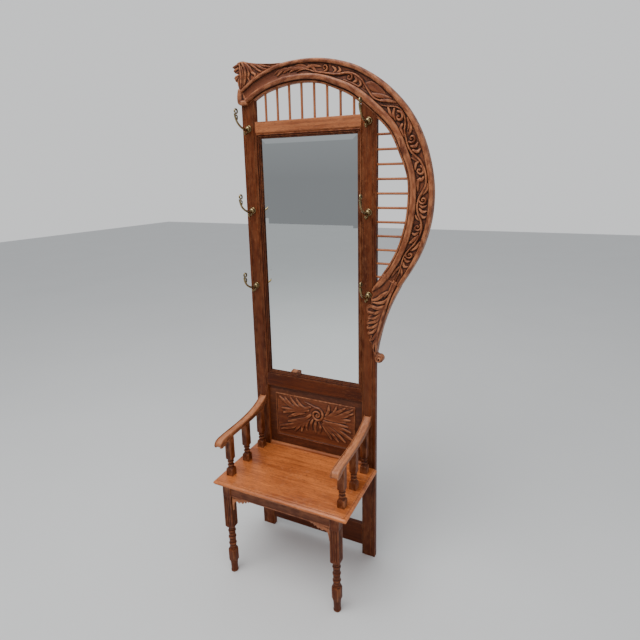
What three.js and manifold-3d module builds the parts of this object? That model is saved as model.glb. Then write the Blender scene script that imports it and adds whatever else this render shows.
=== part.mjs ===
// A carved oak hall tree: a tall mirror frame with a seat, two arms, six hat-and-coat hooks
// and a harp-shaped top that ends in a lion's head. Millimetres, +Z up, the seat faces -Y.
// While it is drawn, x = 0 is midway between the two stiles, y = 0 is the front face of the
// stiles and z = 0 is the floor; the finished group is moved to the middle of its own base.

import * as THREE from 'three';
import { mergeVertices } from 'three/addons/utils/BufferGeometryUtils.js';
import Module from 'manifold-3d';

const wasm = await Module();
wasm.setup();

// ---- driving dimensions -------------------------------------------------------------

const FIT = 0.3;                    // gap left between two pieces that touch
const MERGE = 0.03;                 // edges shorter than this are closed up in a finished piece

const STILE = { outer: 298, width: 62, thick: 24, leftTop: 2100, rightTop: 2040 };
const STILE_INNER = STILE.outer - STILE.width;
const STILE_MID = STILE.outer - STILE.width / 2;
const TENON = { length: 24, thick: 8, shoulder: 8 };

const TOP_RAIL = { low: 1885, high: 1934 };
const MIRROR_RAIL = { low: 761, high: 818 };
const SEAT_RAIL = { low: 386, high: 432 };
const LOWER_RAIL = { low: 47, high: 154, setback: 2 };

const MOULDING = { width: 17, depth: 11 };
const GLASS = { thick: 4.5, rebate: 4, front: 11.5, bevel: 22, bevelDrop: 2.5 };
const BACKBOARD = { thick: 6.5, margin: 1.5 };

const FIELD = { front: 14, thick: 7, tongue: 6 };
const BEAD = { half: 201, low: 509, high: 724, width: 7, front: 9 };
const TABLET = { thick: 3, relief: 4, boss: 30, bossThick: 5, eyeX: 11, eyeZ: 630 };

const SEAT = { top: 455, thick: 20, half: 308, front: -350, flatInset: 12, tongueBack: 13.5 };
const SEAT_STRIP = { high: 469, front: 3, back: 13.5 };

const LEG = { x: 251, y: -316, side: 40, squareLow: 232 };
const LEG_BLOCK = { low: 59, high: 117, inset: 1, corner: 11 };
const APRON = { low: 388, thick: 18, inset: 5, bead: 5, beadOut: 3 };
const APRON_TENON = { half: 4, shoulder: 8, length: 14, lap: 2 };
const APRON_TOP = SEAT.top - SEAT.thick - FIT;
const APRON_FRONT = LEG.y - LEG.side / 2 + APRON.inset;
const BRACKET = { thick: 12, inner: 142, deepX: 188, deepZ: 360, footZ: 318 };

const ARM = { x: 264, width: 34, rise: 706 };
const ARM_TENON = { half: 8, low: 668, high: 692, depth: 12 };
const SPINDLE = { x: 262, side: 32, ys: [-278, -157, -36], blockTop: 489, squareLow: 529 };
const DOWEL = { radius: 8, sink: 12, armLow: 620, armHigh: 646, sides: 12 };

const ROD = { radius: 5.2, seat: 10, sides: 10 };
const UPRIGHT_RODS = { count: 8, first: -186, pitch: 55.7 };
const SIDE_RODS = { count: 11, first: 1314, pitch: 54.5 };

const HARP = { front: -16, back: 24, floor: -8 };
const HOOK_HEIGHTS = [1908, 1570, 1238];
const HOOK_PIN = { radius: 3, depth: 12, sides: 8 };

// Places along the harp's band, from the lion round to the sweep above the right stile.
// Each gives a point on the outer edge and the point facing it on the inner edge.
const HARP_OUTER = [
  [-289, 2062], [-219, 2103], [-125, 2138], [-28, 2149], [70, 2145],
  [162, 2126], [248, 2092], [340, 2028], [426, 1934], [484, 1820],
  [516, 1685], [515, 1560], [487, 1445], [448, 1362], [400, 1284],
];
const HARP_INNER = [
  [-262, 2003], [-190, 2040], [-107, 2061], [-25, 2068], [57, 2060],
  [134, 2031], [200, 1998], [270, 1941], [342, 1871], [386, 1784],
  [418, 1688], [416, 1565], [395, 1469], [363, 1391], [322, 1326],
];
// Share of the band's width where the inner rim, the carved hollow and the outer rim meet.
const BAND = { lip: 0.13, innerRim: 0.36, outerRim: 0.83 };
const HARP_CUTS = [4.5, 8.5, 12.0];   // stations where the harp's boards are glued end to end

// ---- materials ------------------------------------------------------------------------

function finish(color, roughness, metalness) {
  return new THREE.MeshStandardMaterial({ color, roughness, metalness });
}

const frameOak = finish(0x6e3a22, 0.42, 0);
const carvedOak = finish(0x80492f, 0.45, 0);
const seatOak = finish(0xb06a3f, 0.38, 0);
const railOak = finish(0x9a5f3c, 0.4, 0);
const backPine = finish(0x8a6a4a, 0.75, 0);
const mirrorGlass = finish(0xcfd8d6, 0.05, 1);
const antiqueBrass = finish(0x6b5a38, 0.35, 1);

// ---- solids ----------------------------------------------------------------------------

function solid(geometry) {
  const bare = geometry.index ? geometry.toNonIndexed() : geometry.clone();
  bare.deleteAttribute('normal');
  bare.deleteAttribute('uv');
  const merged = mergeVertices(bare, 1e-3);
  return new wasm.Manifold(new wasm.Mesh({
    numProp: 3,
    vertProperties: new Float32Array(merged.attributes.position.array),
    triVerts: new Uint32Array(merged.index.array),
  }));
}

function geometryOf(piece) {
  const data = piece.simplify(MERGE).getMesh();
  const geometry = new THREE.BufferGeometry();
  geometry.setAttribute('position', new THREE.BufferAttribute(data.vertProperties, 3));
  geometry.setIndex(new THREE.BufferAttribute(data.triVerts, 1));
  geometry.computeVertexNormals();
  return geometry;
}

function block(x0, x1, y0, y1, z0, z1) {
  const box = new THREE.BoxGeometry(x1 - x0, y1 - y0, z1 - z0);
  box.translate((x0 + x1) / 2, (y0 + y1) / 2, (z0 + z1) / 2);
  return solid(box);
}

// An outline drawn in x and z, given its thickness from y0 back to y1.
function board(points, y0, y1) {
  const shape = new THREE.Shape(points.map(([x, z]) => new THREE.Vector2(x, z)));
  const plate = new THREE.ExtrudeGeometry(shape, { depth: y1 - y0, bevelEnabled: false });
  plate.rotateX(Math.PI / 2);
  plate.translate(0, y1, 0);
  return solid(plate);
}

// An outline drawn in y and z, given its thickness from x0 across to x1.
function sideBoard(points, x0, x1) {
  const shape = new THREE.Shape(points.map(([y, z]) => new THREE.Vector2(y, z)));
  const plate = new THREE.ExtrudeGeometry(shape, { depth: x1 - x0, bevelEnabled: false });
  plate.rotateX(Math.PI / 2);
  plate.rotateZ(Math.PI / 2);
  plate.translate(x0, 0, 0);
  return solid(plate);
}

// A turning: radius and height pairs from the bottom to the top, about a vertical axis.
function turned(profile, x, y, sides = 16) {
  const points = profile.map(([radius, z]) => new THREE.Vector2(radius, z));
  const lathe = new THREE.LatheGeometry(points, sides);
  lathe.rotateX(Math.PI / 2);
  lathe.translate(x, y, 0);
  return solid(lathe);
}

// A round bar between two points.
function rod(from, to, radius, sides = ROD.sides) {
  const a = new THREE.Vector3(...from);
  const b = new THREE.Vector3(...to);
  const bar = new THREE.CylinderGeometry(radius, radius, a.distanceTo(b), sides);
  const turn = new THREE.Quaternion();
  turn.setFromUnitVectors(new THREE.Vector3(0, 1, 0), b.clone().sub(a).normalize());
  bar.applyQuaternion(turn);
  bar.translate(...a.add(b).multiplyScalar(0.5).toArray());
  return solid(bar);
}

// A round bar bent along a smooth curve.
function bentRod(points, radius, steps, sides = 6) {
  const path = new THREE.CatmullRomCurve3(points.map((p) => new THREE.Vector3(...p)));
  const ring = new THREE.Shape();
  ring.absarc(0, 0, radius, 0, 2 * Math.PI, false);
  const options = { steps, curveSegments: sides / 2, extrudePath: path, bevelEnabled: false };
  return solid(new THREE.ExtrudeGeometry(ring, options));
}

function smooth(points, perSpan) {
  const curve = new THREE.SplineCurve(points.map(([x, z]) => new THREE.Vector2(x, z)));
  return curve.getPoints((points.length - 1) * perSpan).map((p) => [p.x, p.y]);
}

function mirrored(points) {
  return points.map(([x, z]) => [-x, z]).reverse();
}

// A frame of four mitred strips. The profile lists inset from the outer edge and depth y,
// and closes on itself.
function mitredFrame(half, low, high, profile) {
  const corners = [[-1, low, 1], [1, low, 1], [1, high, -1], [-1, high, -1]];
  const places = [];
  for (const [side, z, inward] of corners) {
    for (const [inset, y] of profile) {
      places.push(side * (half - inset), y, z + inward * inset);
    }
  }
  const count = profile.length;
  const faces = [];
  for (let corner = 0; corner < 4; corner += 1) {
    const next = (corner + 1) % 4;
    for (let i = 0; i < count; i += 1) {
      const j = (i + 1) % count;
      const a = corner * count + i;
      const b = corner * count + j;
      const c = next * count + j;
      const d = next * count + i;
      faces.push(a, c, b, a, d, c);
    }
  }
  const frame = new THREE.BufferGeometry();
  frame.setAttribute('position', new THREE.Float32BufferAttribute(places, 3));
  frame.setIndex(faces);
  return solid(frame);
}

// ---- the back frame ----------------------------------------------------------------------

const RAILS = {
  top_rail: { ...TOP_RAIL, y0: 0, y1: STILE.thick },
  mirror_rail: { ...MIRROR_RAIL, y0: 0, y1: STILE.thick },
  seat_rail: { ...SEAT_RAIL, y0: 0, y1: STILE.thick },
  lower_rail: { ...LOWER_RAIL, y0: LOWER_RAIL.setback, y1: STILE.thick - LOWER_RAIL.setback },
};

function tenon(rail, side, grow) {
  const y = STILE.thick / 2;
  const near = side * (STILE_INNER - FIT - 1);
  const far = side * (STILE_INNER + TENON.length + grow);
  return block(
    Math.min(near, far), Math.max(near, far),
    y - TENON.thick / 2 - grow, y + TENON.thick / 2 + grow,
    rail.low + TENON.shoulder - grow, rail.high - TENON.shoulder + grow,
  );
}

function rail(name) {
  const { low, high, y0, y1 } = RAILS[name];
  const body = block(-STILE_INNER + FIT, STILE_INNER - FIT, y0, y1, low, high);
  return body.add(tenon(RAILS[name], -1, 0)).add(tenon(RAILS[name], 1, 0));
}

function fieldPanel(grow) {
  return block(
    -STILE_INNER - FIELD.tongue - grow, STILE_INNER + FIELD.tongue + grow,
    FIELD.front - grow, FIELD.front + FIELD.thick + grow,
    SEAT.top - SEAT.thick - grow, MIRROR_RAIL.low + FIELD.tongue + grow,
  );
}

function armTenon(side, grow) {
  const { half, low, high, depth } = ARM_TENON;
  const x = side * ARM.x;
  return block(x - half - grow, x + half + grow, -2, depth + grow, low - grow, high + grow);
}

function hookPin(side, z, grow) {
  const { radius, depth, sides } = HOOK_PIN;
  return rod([side * STILE_MID, -2, z], [side * STILE_MID, depth + grow, z], radius + grow, sides);
}

function stile(side) {
  const top = side < 0 ? STILE.leftTop : STILE.rightTop;
  const inner = side * STILE_INNER;
  const outer = side * STILE.outer;
  let post = block(Math.min(inner, outer), Math.max(inner, outer), 0, STILE.thick, 0, top);
  for (const joint of Object.values(RAILS)) {
    post = post.subtract(tenon(joint, side, FIT));
  }
  post = post.subtract(fieldPanel(FIT)).subtract(armTenon(side, FIT));
  for (const z of HOOK_HEIGHTS) {
    post = post.subtract(hookPin(side, z, FIT));
  }
  return side < 0 ? post : post.subtract(sideRods(FIT));
}

// ---- mirror and carved panel ---------------------------------------------------------------

function mirrorMoulding() {
  const { width, depth } = MOULDING;
  const profile = [
    [FIT, depth], [FIT, 0.5], [3, -1.5], [6, 0.5], [8, 3.5],
    [12, 4.5], [15, 7], [width, 8], [width, depth],
  ];
  return mitredFrame(STILE_INNER, MIRROR_RAIL.high, TOP_RAIL.low, profile);
}

function glassPlate() {
  const inset = MOULDING.width - GLASS.rebate;
  const half = STILE_INNER - inset;
  const low = MIRROR_RAIL.high + inset;
  const high = TOP_RAIL.low - inset;
  const back = GLASS.front + GLASS.thick;
  const plate = block(-half, half, GLASS.front, back, low, high);
  const bevel = [
    [GLASS.bevel + GLASS.rebate, GLASS.front - 1], [GLASS.bevel + GLASS.rebate, GLASS.front],
    [-1, GLASS.front + GLASS.bevelDrop], [-1, GLASS.front - 1],
  ];
  return plate.subtract(mitredFrame(half, low, high, bevel));
}

function backboard() {
  const front = GLASS.front + GLASS.thick + FIT;
  const margin = BACKBOARD.margin;
  return block(
    -STILE_INNER + margin, STILE_INNER - margin, front, front + BACKBOARD.thick,
    MIRROR_RAIL.high + margin, TOP_RAIL.low - margin,
  );
}

function panelBead() {
  const flat = FIELD.front - FIT;
  const { width, front } = BEAD;
  const profile = [[0, flat], [0, front + 2], [width / 3, front], [2 * width / 3, front],
    [width, front + 2], [width, flat]];
  return mitredFrame(BEAD.half, BEAD.low, BEAD.high, profile);
}

// A leaf blade lying on the tablet: it starts at the root and points along its angle.
function blade(rootX, rootZ, angle, length, width) {
  const along = new THREE.Vector2(Math.cos(angle), Math.sin(angle));
  const across = new THREE.Vector2(-along.y, along.x);
  const outline = [[0, 0.3], [0.35, 0.5], [0.75, 0.45], [1, 0], [0.75, -0.45], [0.35, -0.5], [0, -0.3]];
  const points = outline.map(([t, w]) => [
    rootX + along.x * t * length + across.x * w * width,
    rootZ + along.y * t * length + across.y * w * width,
  ]);
  const flat = FIELD.front - FIT - TABLET.thick;
  return board(points.reverse(), flat - TABLET.relief, flat + 1);
}

// Each spray of the carving: root, direction in degrees, length and width of its blades.
const SPRAYS = [
  { root: [-70, 655], from: 145, to: 215, count: 5, length: 105, width: 17 },
  { root: [-60, 610], from: 190, to: 255, count: 4, length: 100, width: 17 },
  { root: [70, 650], from: -5, to: 55, count: 5, length: 95, width: 17 },
  { root: [50, 610], from: -70, to: -10, count: 5, length: 105, width: 17 },
];

function carvedTablet() {
  const inset = BEAD.width + FIT;
  const flat = FIELD.front - FIT;
  let tablet = block(
    -BEAD.half + inset, BEAD.half - inset, flat - TABLET.thick, flat,
    BEAD.low + inset, BEAD.high - inset,
  );
  const face = flat - TABLET.thick;
  const { eyeX, eyeZ, boss, bossThick } = TABLET;
  tablet = tablet.add(rod([eyeX, face - bossThick, eyeZ], [eyeX, flat - 1, eyeZ], boss, 20));
  tablet = tablet.add(blade(eyeX - 20, eyeZ, Math.PI * 0.92, 75, 26));
  tablet = tablet.add(blade(eyeX + 20, eyeZ - 12, -Math.PI * 0.08, 75, 26));
  tablet = tablet.add(blade(eyeX - 20, eyeZ - 8, Math.PI * 1.16, 80, 26));
  for (const spray of SPRAYS) {
    for (let i = 0; i < spray.count; i += 1) {
      const share = i / (spray.count - 1);
      const degrees = spray.from + share * (spray.to - spray.from);
      const angle = THREE.MathUtils.degToRad(degrees);
      tablet = tablet.add(blade(...spray.root, angle, spray.length, spray.width));
    }
  }
  const window = block(
    -BEAD.half + inset, BEAD.half - inset, -50, 50, BEAD.low + inset, BEAD.high - inset,
  );
  return tablet.intersect(window);
}

// ---- seat, apron and legs --------------------------------------------------------------------

function spindleTenon(side, y, top, grow) {
  const { radius, sink, armLow, armHigh, sides } = DOWEL;
  const [low, high] = top ? [armLow, armHigh + grow] : [SEAT.top - sink - grow, SEAT.top + 1];
  return rod([side * SPINDLE.x, y, low], [side * SPINDLE.x, y, high], radius + grow, sides);
}

function seatBoard() {
  const { top, thick, half, front, flatInset } = SEAT;
  const low = top - thick;
  // Edge moulding from the top down: a rounded nosing, then two small steps back.
  const edge = [[flatInset, 0], [5, 1.5], [1, 5], [0, 9], [2, 12], [7, 13], [8, 16], [12, 17.5], [12, thick]];
  const layers = edge.map(([inset, drop]) => ({ inset, z: top - drop })).reverse();
  const places = [];
  for (const { inset, z } of layers) {
    const x = half - inset;
    const y = front + inset;
    places.push(-x, y, z, x, y, z, x, -FIT, z, -x, -FIT, z);
  }
  const faces = [0, 2, 1, 0, 3, 2];
  for (let layer = 0; layer < layers.length - 1; layer += 1) {
    for (let i = 0; i < 4; i += 1) {
      const j = (i + 1) % 4;
      const a = layer * 4 + i;
      const b = layer * 4 + j;
      faces.push(a, b, b + 4, a, b + 4, a + 4);
    }
  }
  const last = (layers.length - 1) * 4;
  faces.push(last, last + 1, last + 2, last, last + 2, last + 3);
  const slab = new THREE.BufferGeometry();
  slab.setAttribute('position', new THREE.Float32BufferAttribute(places, 3));
  slab.setIndex(faces);
  let seat = solid(slab);
  const reach = STILE_INNER - FIT;
  seat = seat.add(block(-reach, reach, -2, SEAT.tongueBack, low, top));
  for (const side of [-1, 1]) {
    for (const y of SPINDLE.ys) {
      seat = seat.subtract(spindleTenon(side, y, false, FIT));
    }
  }
  return seat;
}

function seatStrip() {
  const { high, front, back } = SEAT_STRIP;
  const low = SEAT.top + FIT;
  const reach = STILE_INNER - FIT;
  const profile = [[back, low], [back, high], [front + 4, high], [front + 1, high - 4], [front, low]];
  return sideBoard(profile.reverse(), -reach, reach);
}

function legTurning(x, y) {
  const profile = [
    [0, 0], [13, 0], [15.5, 4], [16, 10], [14.5, 15], [13.5, 19], [15, 40], [18, 55], [18, 60],
    [18, 112], [16, 120], [14, 126], [13.5, 136], [17, 139], [18, 143], [17, 147], [13.5, 151],
    [13, 167], [17, 171], [18, 175], [17, 179], [13.5, 183], [13, 198], [17, 202], [18, 206],
    [17, 210], [14, 214], [14.5, 222], [18, 236], [0, 236],
  ];
  return turned(profile, x, y, 14);
}

function leg(side) {
  const x = side * LEG.x;
  const { y, side: wide, squareLow } = LEG;
  const half = wide / 2;
  let post = block(x - half, x + half, y - half, y + half, squareLow, APRON_TOP);
  post = post.add(legTurning(x, y));
  const { low, high, inset, corner } = LEG_BLOCK;
  const foot = half - inset;
  const ring = [
    [-foot, -corner], [-corner, -foot], [corner, -foot], [foot, -corner],
    [foot, corner], [corner, foot], [-corner, foot], [-foot, corner],
  ];
  const shape = new THREE.Shape(ring.map(([u, v]) => new THREE.Vector2(u, v)));
  const drum = new THREE.ExtrudeGeometry(shape, { depth: high - low, bevelEnabled: false });
  drum.translate(x, y, low);
  post = post.add(solid(drum));
  for (const apron of [frontApronTenon(side, FIT), sideApronTenon(side, FIT)]) {
    post = post.subtract(apron);
  }
  return post;
}

function frontApronTenon(side, grow) {
  const { half, shoulder, length, lap } = APRON_TENON;
  const face = LEG.x - LEG.side / 2;
  const near = side * (face - lap);
  const far = side * (face + length + grow);
  const mid = APRON_FRONT + APRON.thick / 2;
  return block(
    Math.min(near, far), Math.max(near, far), mid - half - grow, mid + half + grow,
    APRON.low + shoulder - grow, APRON_TOP - shoulder + grow,
  );
}

function sideApronTenon(side, grow) {
  const { half, shoulder, length, lap } = APRON_TENON;
  const x = side * LEG.x;
  const face = LEG.y + LEG.side / 2;
  return block(
    x - half - grow, x + half + grow, face - length - grow, face + lap,
    APRON.low + shoulder - grow, APRON_TOP - shoulder + grow,
  );
}

function frontApron() {
  const reach = LEG.x - LEG.side / 2 - FIT;
  const back = APRON_FRONT + APRON.thick;
  let apron = block(-reach, reach, APRON_FRONT, back, APRON.low, APRON_TOP);
  apron = apron.add(block(
    -reach, reach, APRON_FRONT - APRON.beadOut, APRON_FRONT + 1, APRON.low, APRON.low + APRON.bead,
  ));
  return apron.add(frontApronTenon(-1, 0)).add(frontApronTenon(1, 0));
}

function sideApron(side) {
  const x = side * LEG.x;
  const half = APRON.thick / 2;
  const start = LEG.y + LEG.side / 2 + FIT;
  const apron = block(x - half, x + half, start, -FIT, APRON.low, APRON_TOP);
  return apron.add(sideApronTenon(side, 0));
}

// A leaf-cut corner bracket under the apron that runs down the inner side of the leg.
function bracket(side) {
  const { thick, inner, deepX, deepZ, footZ } = BRACKET;
  const legSide = LEG.x - LEG.side / 2 - FIT;
  const top = APRON.low - FIT;
  const outline = [
    [inner, top], [inner + 3, top - 9], [inner + 10, top - 7], [inner + 15, top - 17],
    [inner + 23, top - 13], [deepX - 8, deepZ + 4], [deepX, deepZ], [deepX + 12, deepZ + 6],
    [deepX + 24, deepZ + 5], [legSide - 10, deepZ - 2], [legSide - 5, footZ + 18],
    [legSide - 3, footZ], [legSide, footZ], [legSide, top],
  ];
  const points = side > 0 ? outline : mirrored(outline);
  return board(points, APRON_FRONT + 1, APRON_FRONT + 1 + thick);
}

// ---- arms --------------------------------------------------------------------------------------

const ARM_TOP = [
  [-FIT, ARM.rise], [-20, 695], [-42, 684], [-90, 669], [-150, 660], [-215, 656], [-285, 655], [-328, 653],
];
const ARM_NOSE = [[-345, 647], [-355, 636], [-357, 625], [-350, 617], [-340, 616], [-331, 622]];
const ARM_UNDER = [[-320, 632], [-270, 634], [-200, 635], [-140, 637], [-90, 641], [-45, 650], [-FIT, 664]];

function armOutline(drop) {
  const outline = [...smooth(ARM_TOP, 2), ...ARM_NOSE, ...smooth(ARM_UNDER, 2)];
  return outline.map(([y, z]) => [y, z - drop]);
}

function armBody(side, drop) {
  const x = side * ARM.x;
  return sideBoard(armOutline(drop), x - ARM.width / 2, x + ARM.width / 2);
}

function arm(side) {
  let body = armBody(side, 0).add(armTenon(side, 0));
  for (const y of SPINDLE.ys) {
    body = body.subtract(spindleTenon(side, y, true, FIT));
  }
  return body;
}

function spindle(side, y) {
  const x = side * SPINDLE.x;
  const half = SPINDLE.side / 2;
  const { blockTop, squareLow } = SPINDLE;
  const low = SEAT.top + FIT;
  let post = block(x - half, x + half, y - half, y + half, low, blockTop);
  const slim = half - 1;
  post = post.add(block(x - slim, x + slim, y - slim, y + slim, squareLow, DOWEL.armHigh - 2));
  const neck = [
    [0, blockTop - 2], [14.5, blockTop - 2], [12, blockTop + 5], [10.5, 497], [14, 500], [14, 504],
    [10.5, 507], [10, 514], [13.5, 517], [13.5, 521], [11, 524], [14.5, squareLow + 2],
    [0, squareLow + 2],
  ];
  post = post.add(turned(neck, x, y, 14)).subtract(armBody(side, FIT));
  return post.add(spindleTenon(side, y, false, 0)).add(spindleTenon(side, y, true, 0));
}

// ---- harp, rods and lion -------------------------------------------------------------------------

// A line that runs round the harp at a share of the band's width: 0 inner edge, 1 outer edge.
function harpLine(share) {
  const points = HARP_OUTER.map(([x, z], i) => {
    const [u, w] = HARP_INNER[i];
    return [u + share * (x - u), w + share * (z - w)];
  });
  return points;
}

const BAND_STEPS = 3;

// A strip of the band between two shares of its width. Trim leaves points off both its ends.
function band(shareIn, shareOut, y0, y1, trim = 0) {
  const line = (share) => {
    const points = smooth(harpLine(share), BAND_STEPS);
    return points.slice(trim, points.length - trim);
  };
  return board([...line(shareOut), ...line(shareIn).reverse()].reverse(), y0, y1);
}

// The drop at the harp's left end, where its rims run together beneath the lion.
function dropEnd() {
  const outline = [
    [-250, 2014], [-274, 2062], [-290, 2063.5], [-302, 2066], [-308, 2052], [-312, 2030],
    [-308, 2011], [-297, 2001], [-281, 1998], [-263, 2001],
  ];
  return board(outline, HARP.front, HARP.back);
}

// The foot of the harp: its carved leaves spread over the right stile and it ends in a scroll.
function harpFoot() {
  const outline = [
    [404, 1296], ...smooth([[399, 1281], [360, 1200], [331, 1118], [313, 1045], [303, 992]], 3),
    [318, 990], [329, 982], [331, 970], [324, 959], [310, 956], [300, 963], [295, 985],
    [290, 1015], [276, 1062], [264, 1108], [262, 1150], [257, 1188], [266, 1209], [285, 1216],
    [286, 1260], [290, 1272], [318, 1319], [327, 1331],
  ];
  return board(outline.reverse(), HARP.front, HARP.back);
}

function sideRods(grow) {
  const pieces = [];
  for (let i = 0; i < SIDE_RODS.count; i += 1) {
    pieces.push(sideRod(i, grow));
  }
  return pieces.reduce((all, piece) => all.add(piece));
}

const ARCH_LOW = 1950;    // above this height the inner edge is the arch over the top rail
const INNER_END = [290, 1272];    // where the inner edge runs out over the right stile

// Where the harp's inner edge lies: its x at a height, or its z at a place across.
function harpInnerAt(value, axis) {
  const line = [...smooth(HARP_INNER, 8), INNER_END];
  for (let i = 1; i < line.length; i += 1) {
    const [a, b] = [line[i - 1], line[i]];
    const along = (value - a[axis]) / (b[axis] - a[axis]);
    const wanted = axis === 0 ? a[1] > ARCH_LOW : a[0] > STILE_INNER;
    if (wanted && along >= 0 && along <= 1) {
      return a[1 - axis] + along * (b[1 - axis] - a[1 - axis]);
    }
  }
  throw new Error(`the harp has no inner edge at ${value}`);
}

function sideRod(index, grow) {
  const z = SIDE_RODS.first + index * SIDE_RODS.pitch;
  const from = STILE.outer - ROD.seat - grow;
  const to = harpInnerAt(z, 1) + ROD.seat + grow;
  return rod([from, STILE.thick / 2, z], [to, STILE.thick / 2, z], ROD.radius + grow);
}

function uprightRod(index, grow) {
  const x = UPRIGHT_RODS.first + index * UPRIGHT_RODS.pitch;
  const from = TOP_RAIL.high - ROD.seat - grow;
  const to = harpInnerAt(x, 0) + ROD.seat + grow;
  return rod([x, STILE.thick / 2, from], [x, STILE.thick / 2, to], ROD.radius + grow);
}

function uprightRods(grow) {
  const pieces = [];
  for (let i = 0; i < UPRIGHT_RODS.count; i += 1) {
    pieces.push(uprightRod(i, grow));
  }
  return pieces.reduce((all, piece) => all.add(piece));
}

function stileSpace() {
  const inner = STILE_INNER - FIT;
  const outer = STILE.outer + FIT;
  const back = STILE.thick + 1;
  const left = block(-outer, -inner, -FIT, back, 0, STILE.leftTop + FIT);
  return left.add(block(inner, outer, -FIT, back, 0, STILE.rightTop + FIT));
}

function wholeHarp() {
  const { front, back, floor } = HARP;
  let harp = band(0, 1, 0, back).add(band(BAND.lip, 1, front, 1));
  harp = harp.add(dropEnd()).add(harpFoot());
  const hollow = band(BAND.innerRim, BAND.outerRim, front - 2, floor, 1);
  harp = harp.subtract(hollow).subtract(stileSpace());
  return harp.subtract(sideRods(FIT)).subtract(uprightRods(FIT));
}

// A wedge of space between two glue lines of the harp, wide enough to cut a board out of it.
function harpSector(from, to) {
  const reach = 3;
  const edge = (station) => {
    const low = Math.floor(station);
    const share = station - low;
    const at = (line) => {
      const next = line[Math.min(low + 1, line.length - 1)];
      return new THREE.Vector2(...line[low]).lerp(new THREE.Vector2(...next), share);
    };
    const inner = at(HARP_INNER);
    const across = at(HARP_OUTER).sub(inner);
    return [inner.clone().addScaledVector(across, -0.4), inner.clone().addScaledVector(across, reach)];
  };
  const middle = [];
  for (let s = Math.ceil(from + 0.01); s < to; s += 1) {
    middle.push(edge(s));
  }
  const ends = [edge(from), ...middle, edge(to)];
  const outer = ends.map(([, far]) => far.toArray());
  const inner = ends.map(([near]) => near.toArray()).reverse();
  return board([...outer, ...inner].reverse(), -60, 60);
}

// Boxes of space that hold the harp's left board and its foot, in x and z.
const LEFT_SPACE = [-400, 150, 1950, 2300];
const FOOT_SPACE = [200, 600, 900, 1560];
const SPACE_DEPTH = 60;

function harpSpace([x0, x1, z0, z1]) {
  return block(x0, x1, -SPACE_DEPTH, SPACE_DEPTH, z0, z1);
}

function harpBoards() {
  const whole = wholeHarp();
  const shift = 0.003;    // half of the glue line
  const [a, b, c] = HARP_CUTS;
  const shoulder = harpSector(a + shift, b - shift);
  const side = harpSector(b + shift, c - shift);
  const left = harpSpace(LEFT_SPACE).subtract(harpSector(a - shift, b));
  const foot = harpSpace(FOOT_SPACE).subtract(harpSector(b, c + shift));
  return {
    harp_left: whole.intersect(left),
    harp_shoulder: whole.intersect(shoulder),
    harp_side: whole.intersect(side),
    harp_foot: whole.intersect(foot),
  };
}

const LION = [
  [-90, 2149], [-126, 2146], [-165, 2148], [-203, 2152], [-242, 2163], [-270, 2171],
  [-290, 2170], [-300, 2163], [-312, 2158], [-325, 2153], [-323, 2144], [-311, 2139],
  [-300, 2124], [-308, 2119], [-318, 2114], [-320, 2104], [-313, 2094], [-303, 2087], [-303, 2068],
];

function lionHead(harpEnd) {
  const under = [[-289, 2058], [-219, 2099], [-125, 2134], [-90, 2141]];
  const head = board([...LION, ...under], HARP.front, HARP.back);
  const cheek = [
    [-200, 2146], [-245, 2158], [-275, 2165], [-298, 2156], [-292, 2135], [-290, 2110],
    [-285, 2085], [-250, 2098], [-215, 2115],
  ];
  const raised = board(cheek, HARP.front - 9, HARP.front + 1);
  let space = band(0, 1, HARP.front - 20, HARP.back + 2).add(dropEnd());
  space = space.add(space.translate([-0.2, 0, 0.35])).add(space.translate([0.2, 0, 0.35]));
  return head.add(raised).subtract(space).subtract(stileSpace()).subtract(harpEnd);
}

// ---- hooks ------------------------------------------------------------------------------------------

function hook(side, z) {
  const x = side * STILE_MID;
  const plate = [[0, 0], [14, 0], [14, 3], [10, 8], [9, 14], [7, 17], [0, 18]];
  const points = plate.map(([radius, height]) => new THREE.Vector2(radius, height));
  const boss = new THREE.LatheGeometry(points, 12);
  boss.rotateX(Math.PI);
  boss.translate(0, -FIT, 0);
  boss.translate(x, 0, z);
  const upper = [
    [x, -6, z - 3], [x, -30, z - 3], [x, -62, z + 6], [x, -86, z + 24], [x, -96, z + 46],
    [x, -90, z + 64], [x, -77, z + 72], [x, -68, z + 62],
  ];
  const lower = [[x, -6, z - 6], [x, -14, z - 16], [x, -24, z - 24], [x, -34, z - 21], [x, -37, z - 11]];
  let piece = solid(boss).add(bentRod(upper, 3.8, 14)).add(bentRod(lower, 3.2, 6));
  return piece.add(hookPin(side, z, 0));
}

// ---- assembly ------------------------------------------------------------------------------------------

const tree = new THREE.Group();

function put(name, piece, material) {
  const mesh = new THREE.Mesh(geometryOf(piece), material);
  mesh.name = name;
  tree.add(mesh);
}

// The panel behind the seat, cut back along its foot where the seat's tongue passes.
function backPanel() {
  const reach = STILE.outer;
  const tongue = block(-reach, reach, -reach, SEAT.tongueBack + FIT, SEAT_RAIL.low, SEAT.top + 1);
  return fieldPanel(0).subtract(tongue);
}

const SIDES = { left: -1, right: 1 };
const PLACES = ['front', 'middle', 'back'];
const LEVELS = ['top', 'middle', 'low'];

// What is cut out of a rail: rod sockets in the top rail, the panel's groove in the mirror rail.
function railSockets(name) {
  if (name === 'mirror_rail') {
    return fieldPanel(FIT);
  }
  return name === 'top_rail' ? uprightRods(FIT) : null;
}

for (const name of Object.keys(RAILS)) {
  const sockets = railSockets(name);
  const piece = sockets ? rail(name).subtract(sockets) : rail(name);
  put(name, piece, name === 'top_rail' ? railOak : frameOak);
}

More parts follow.
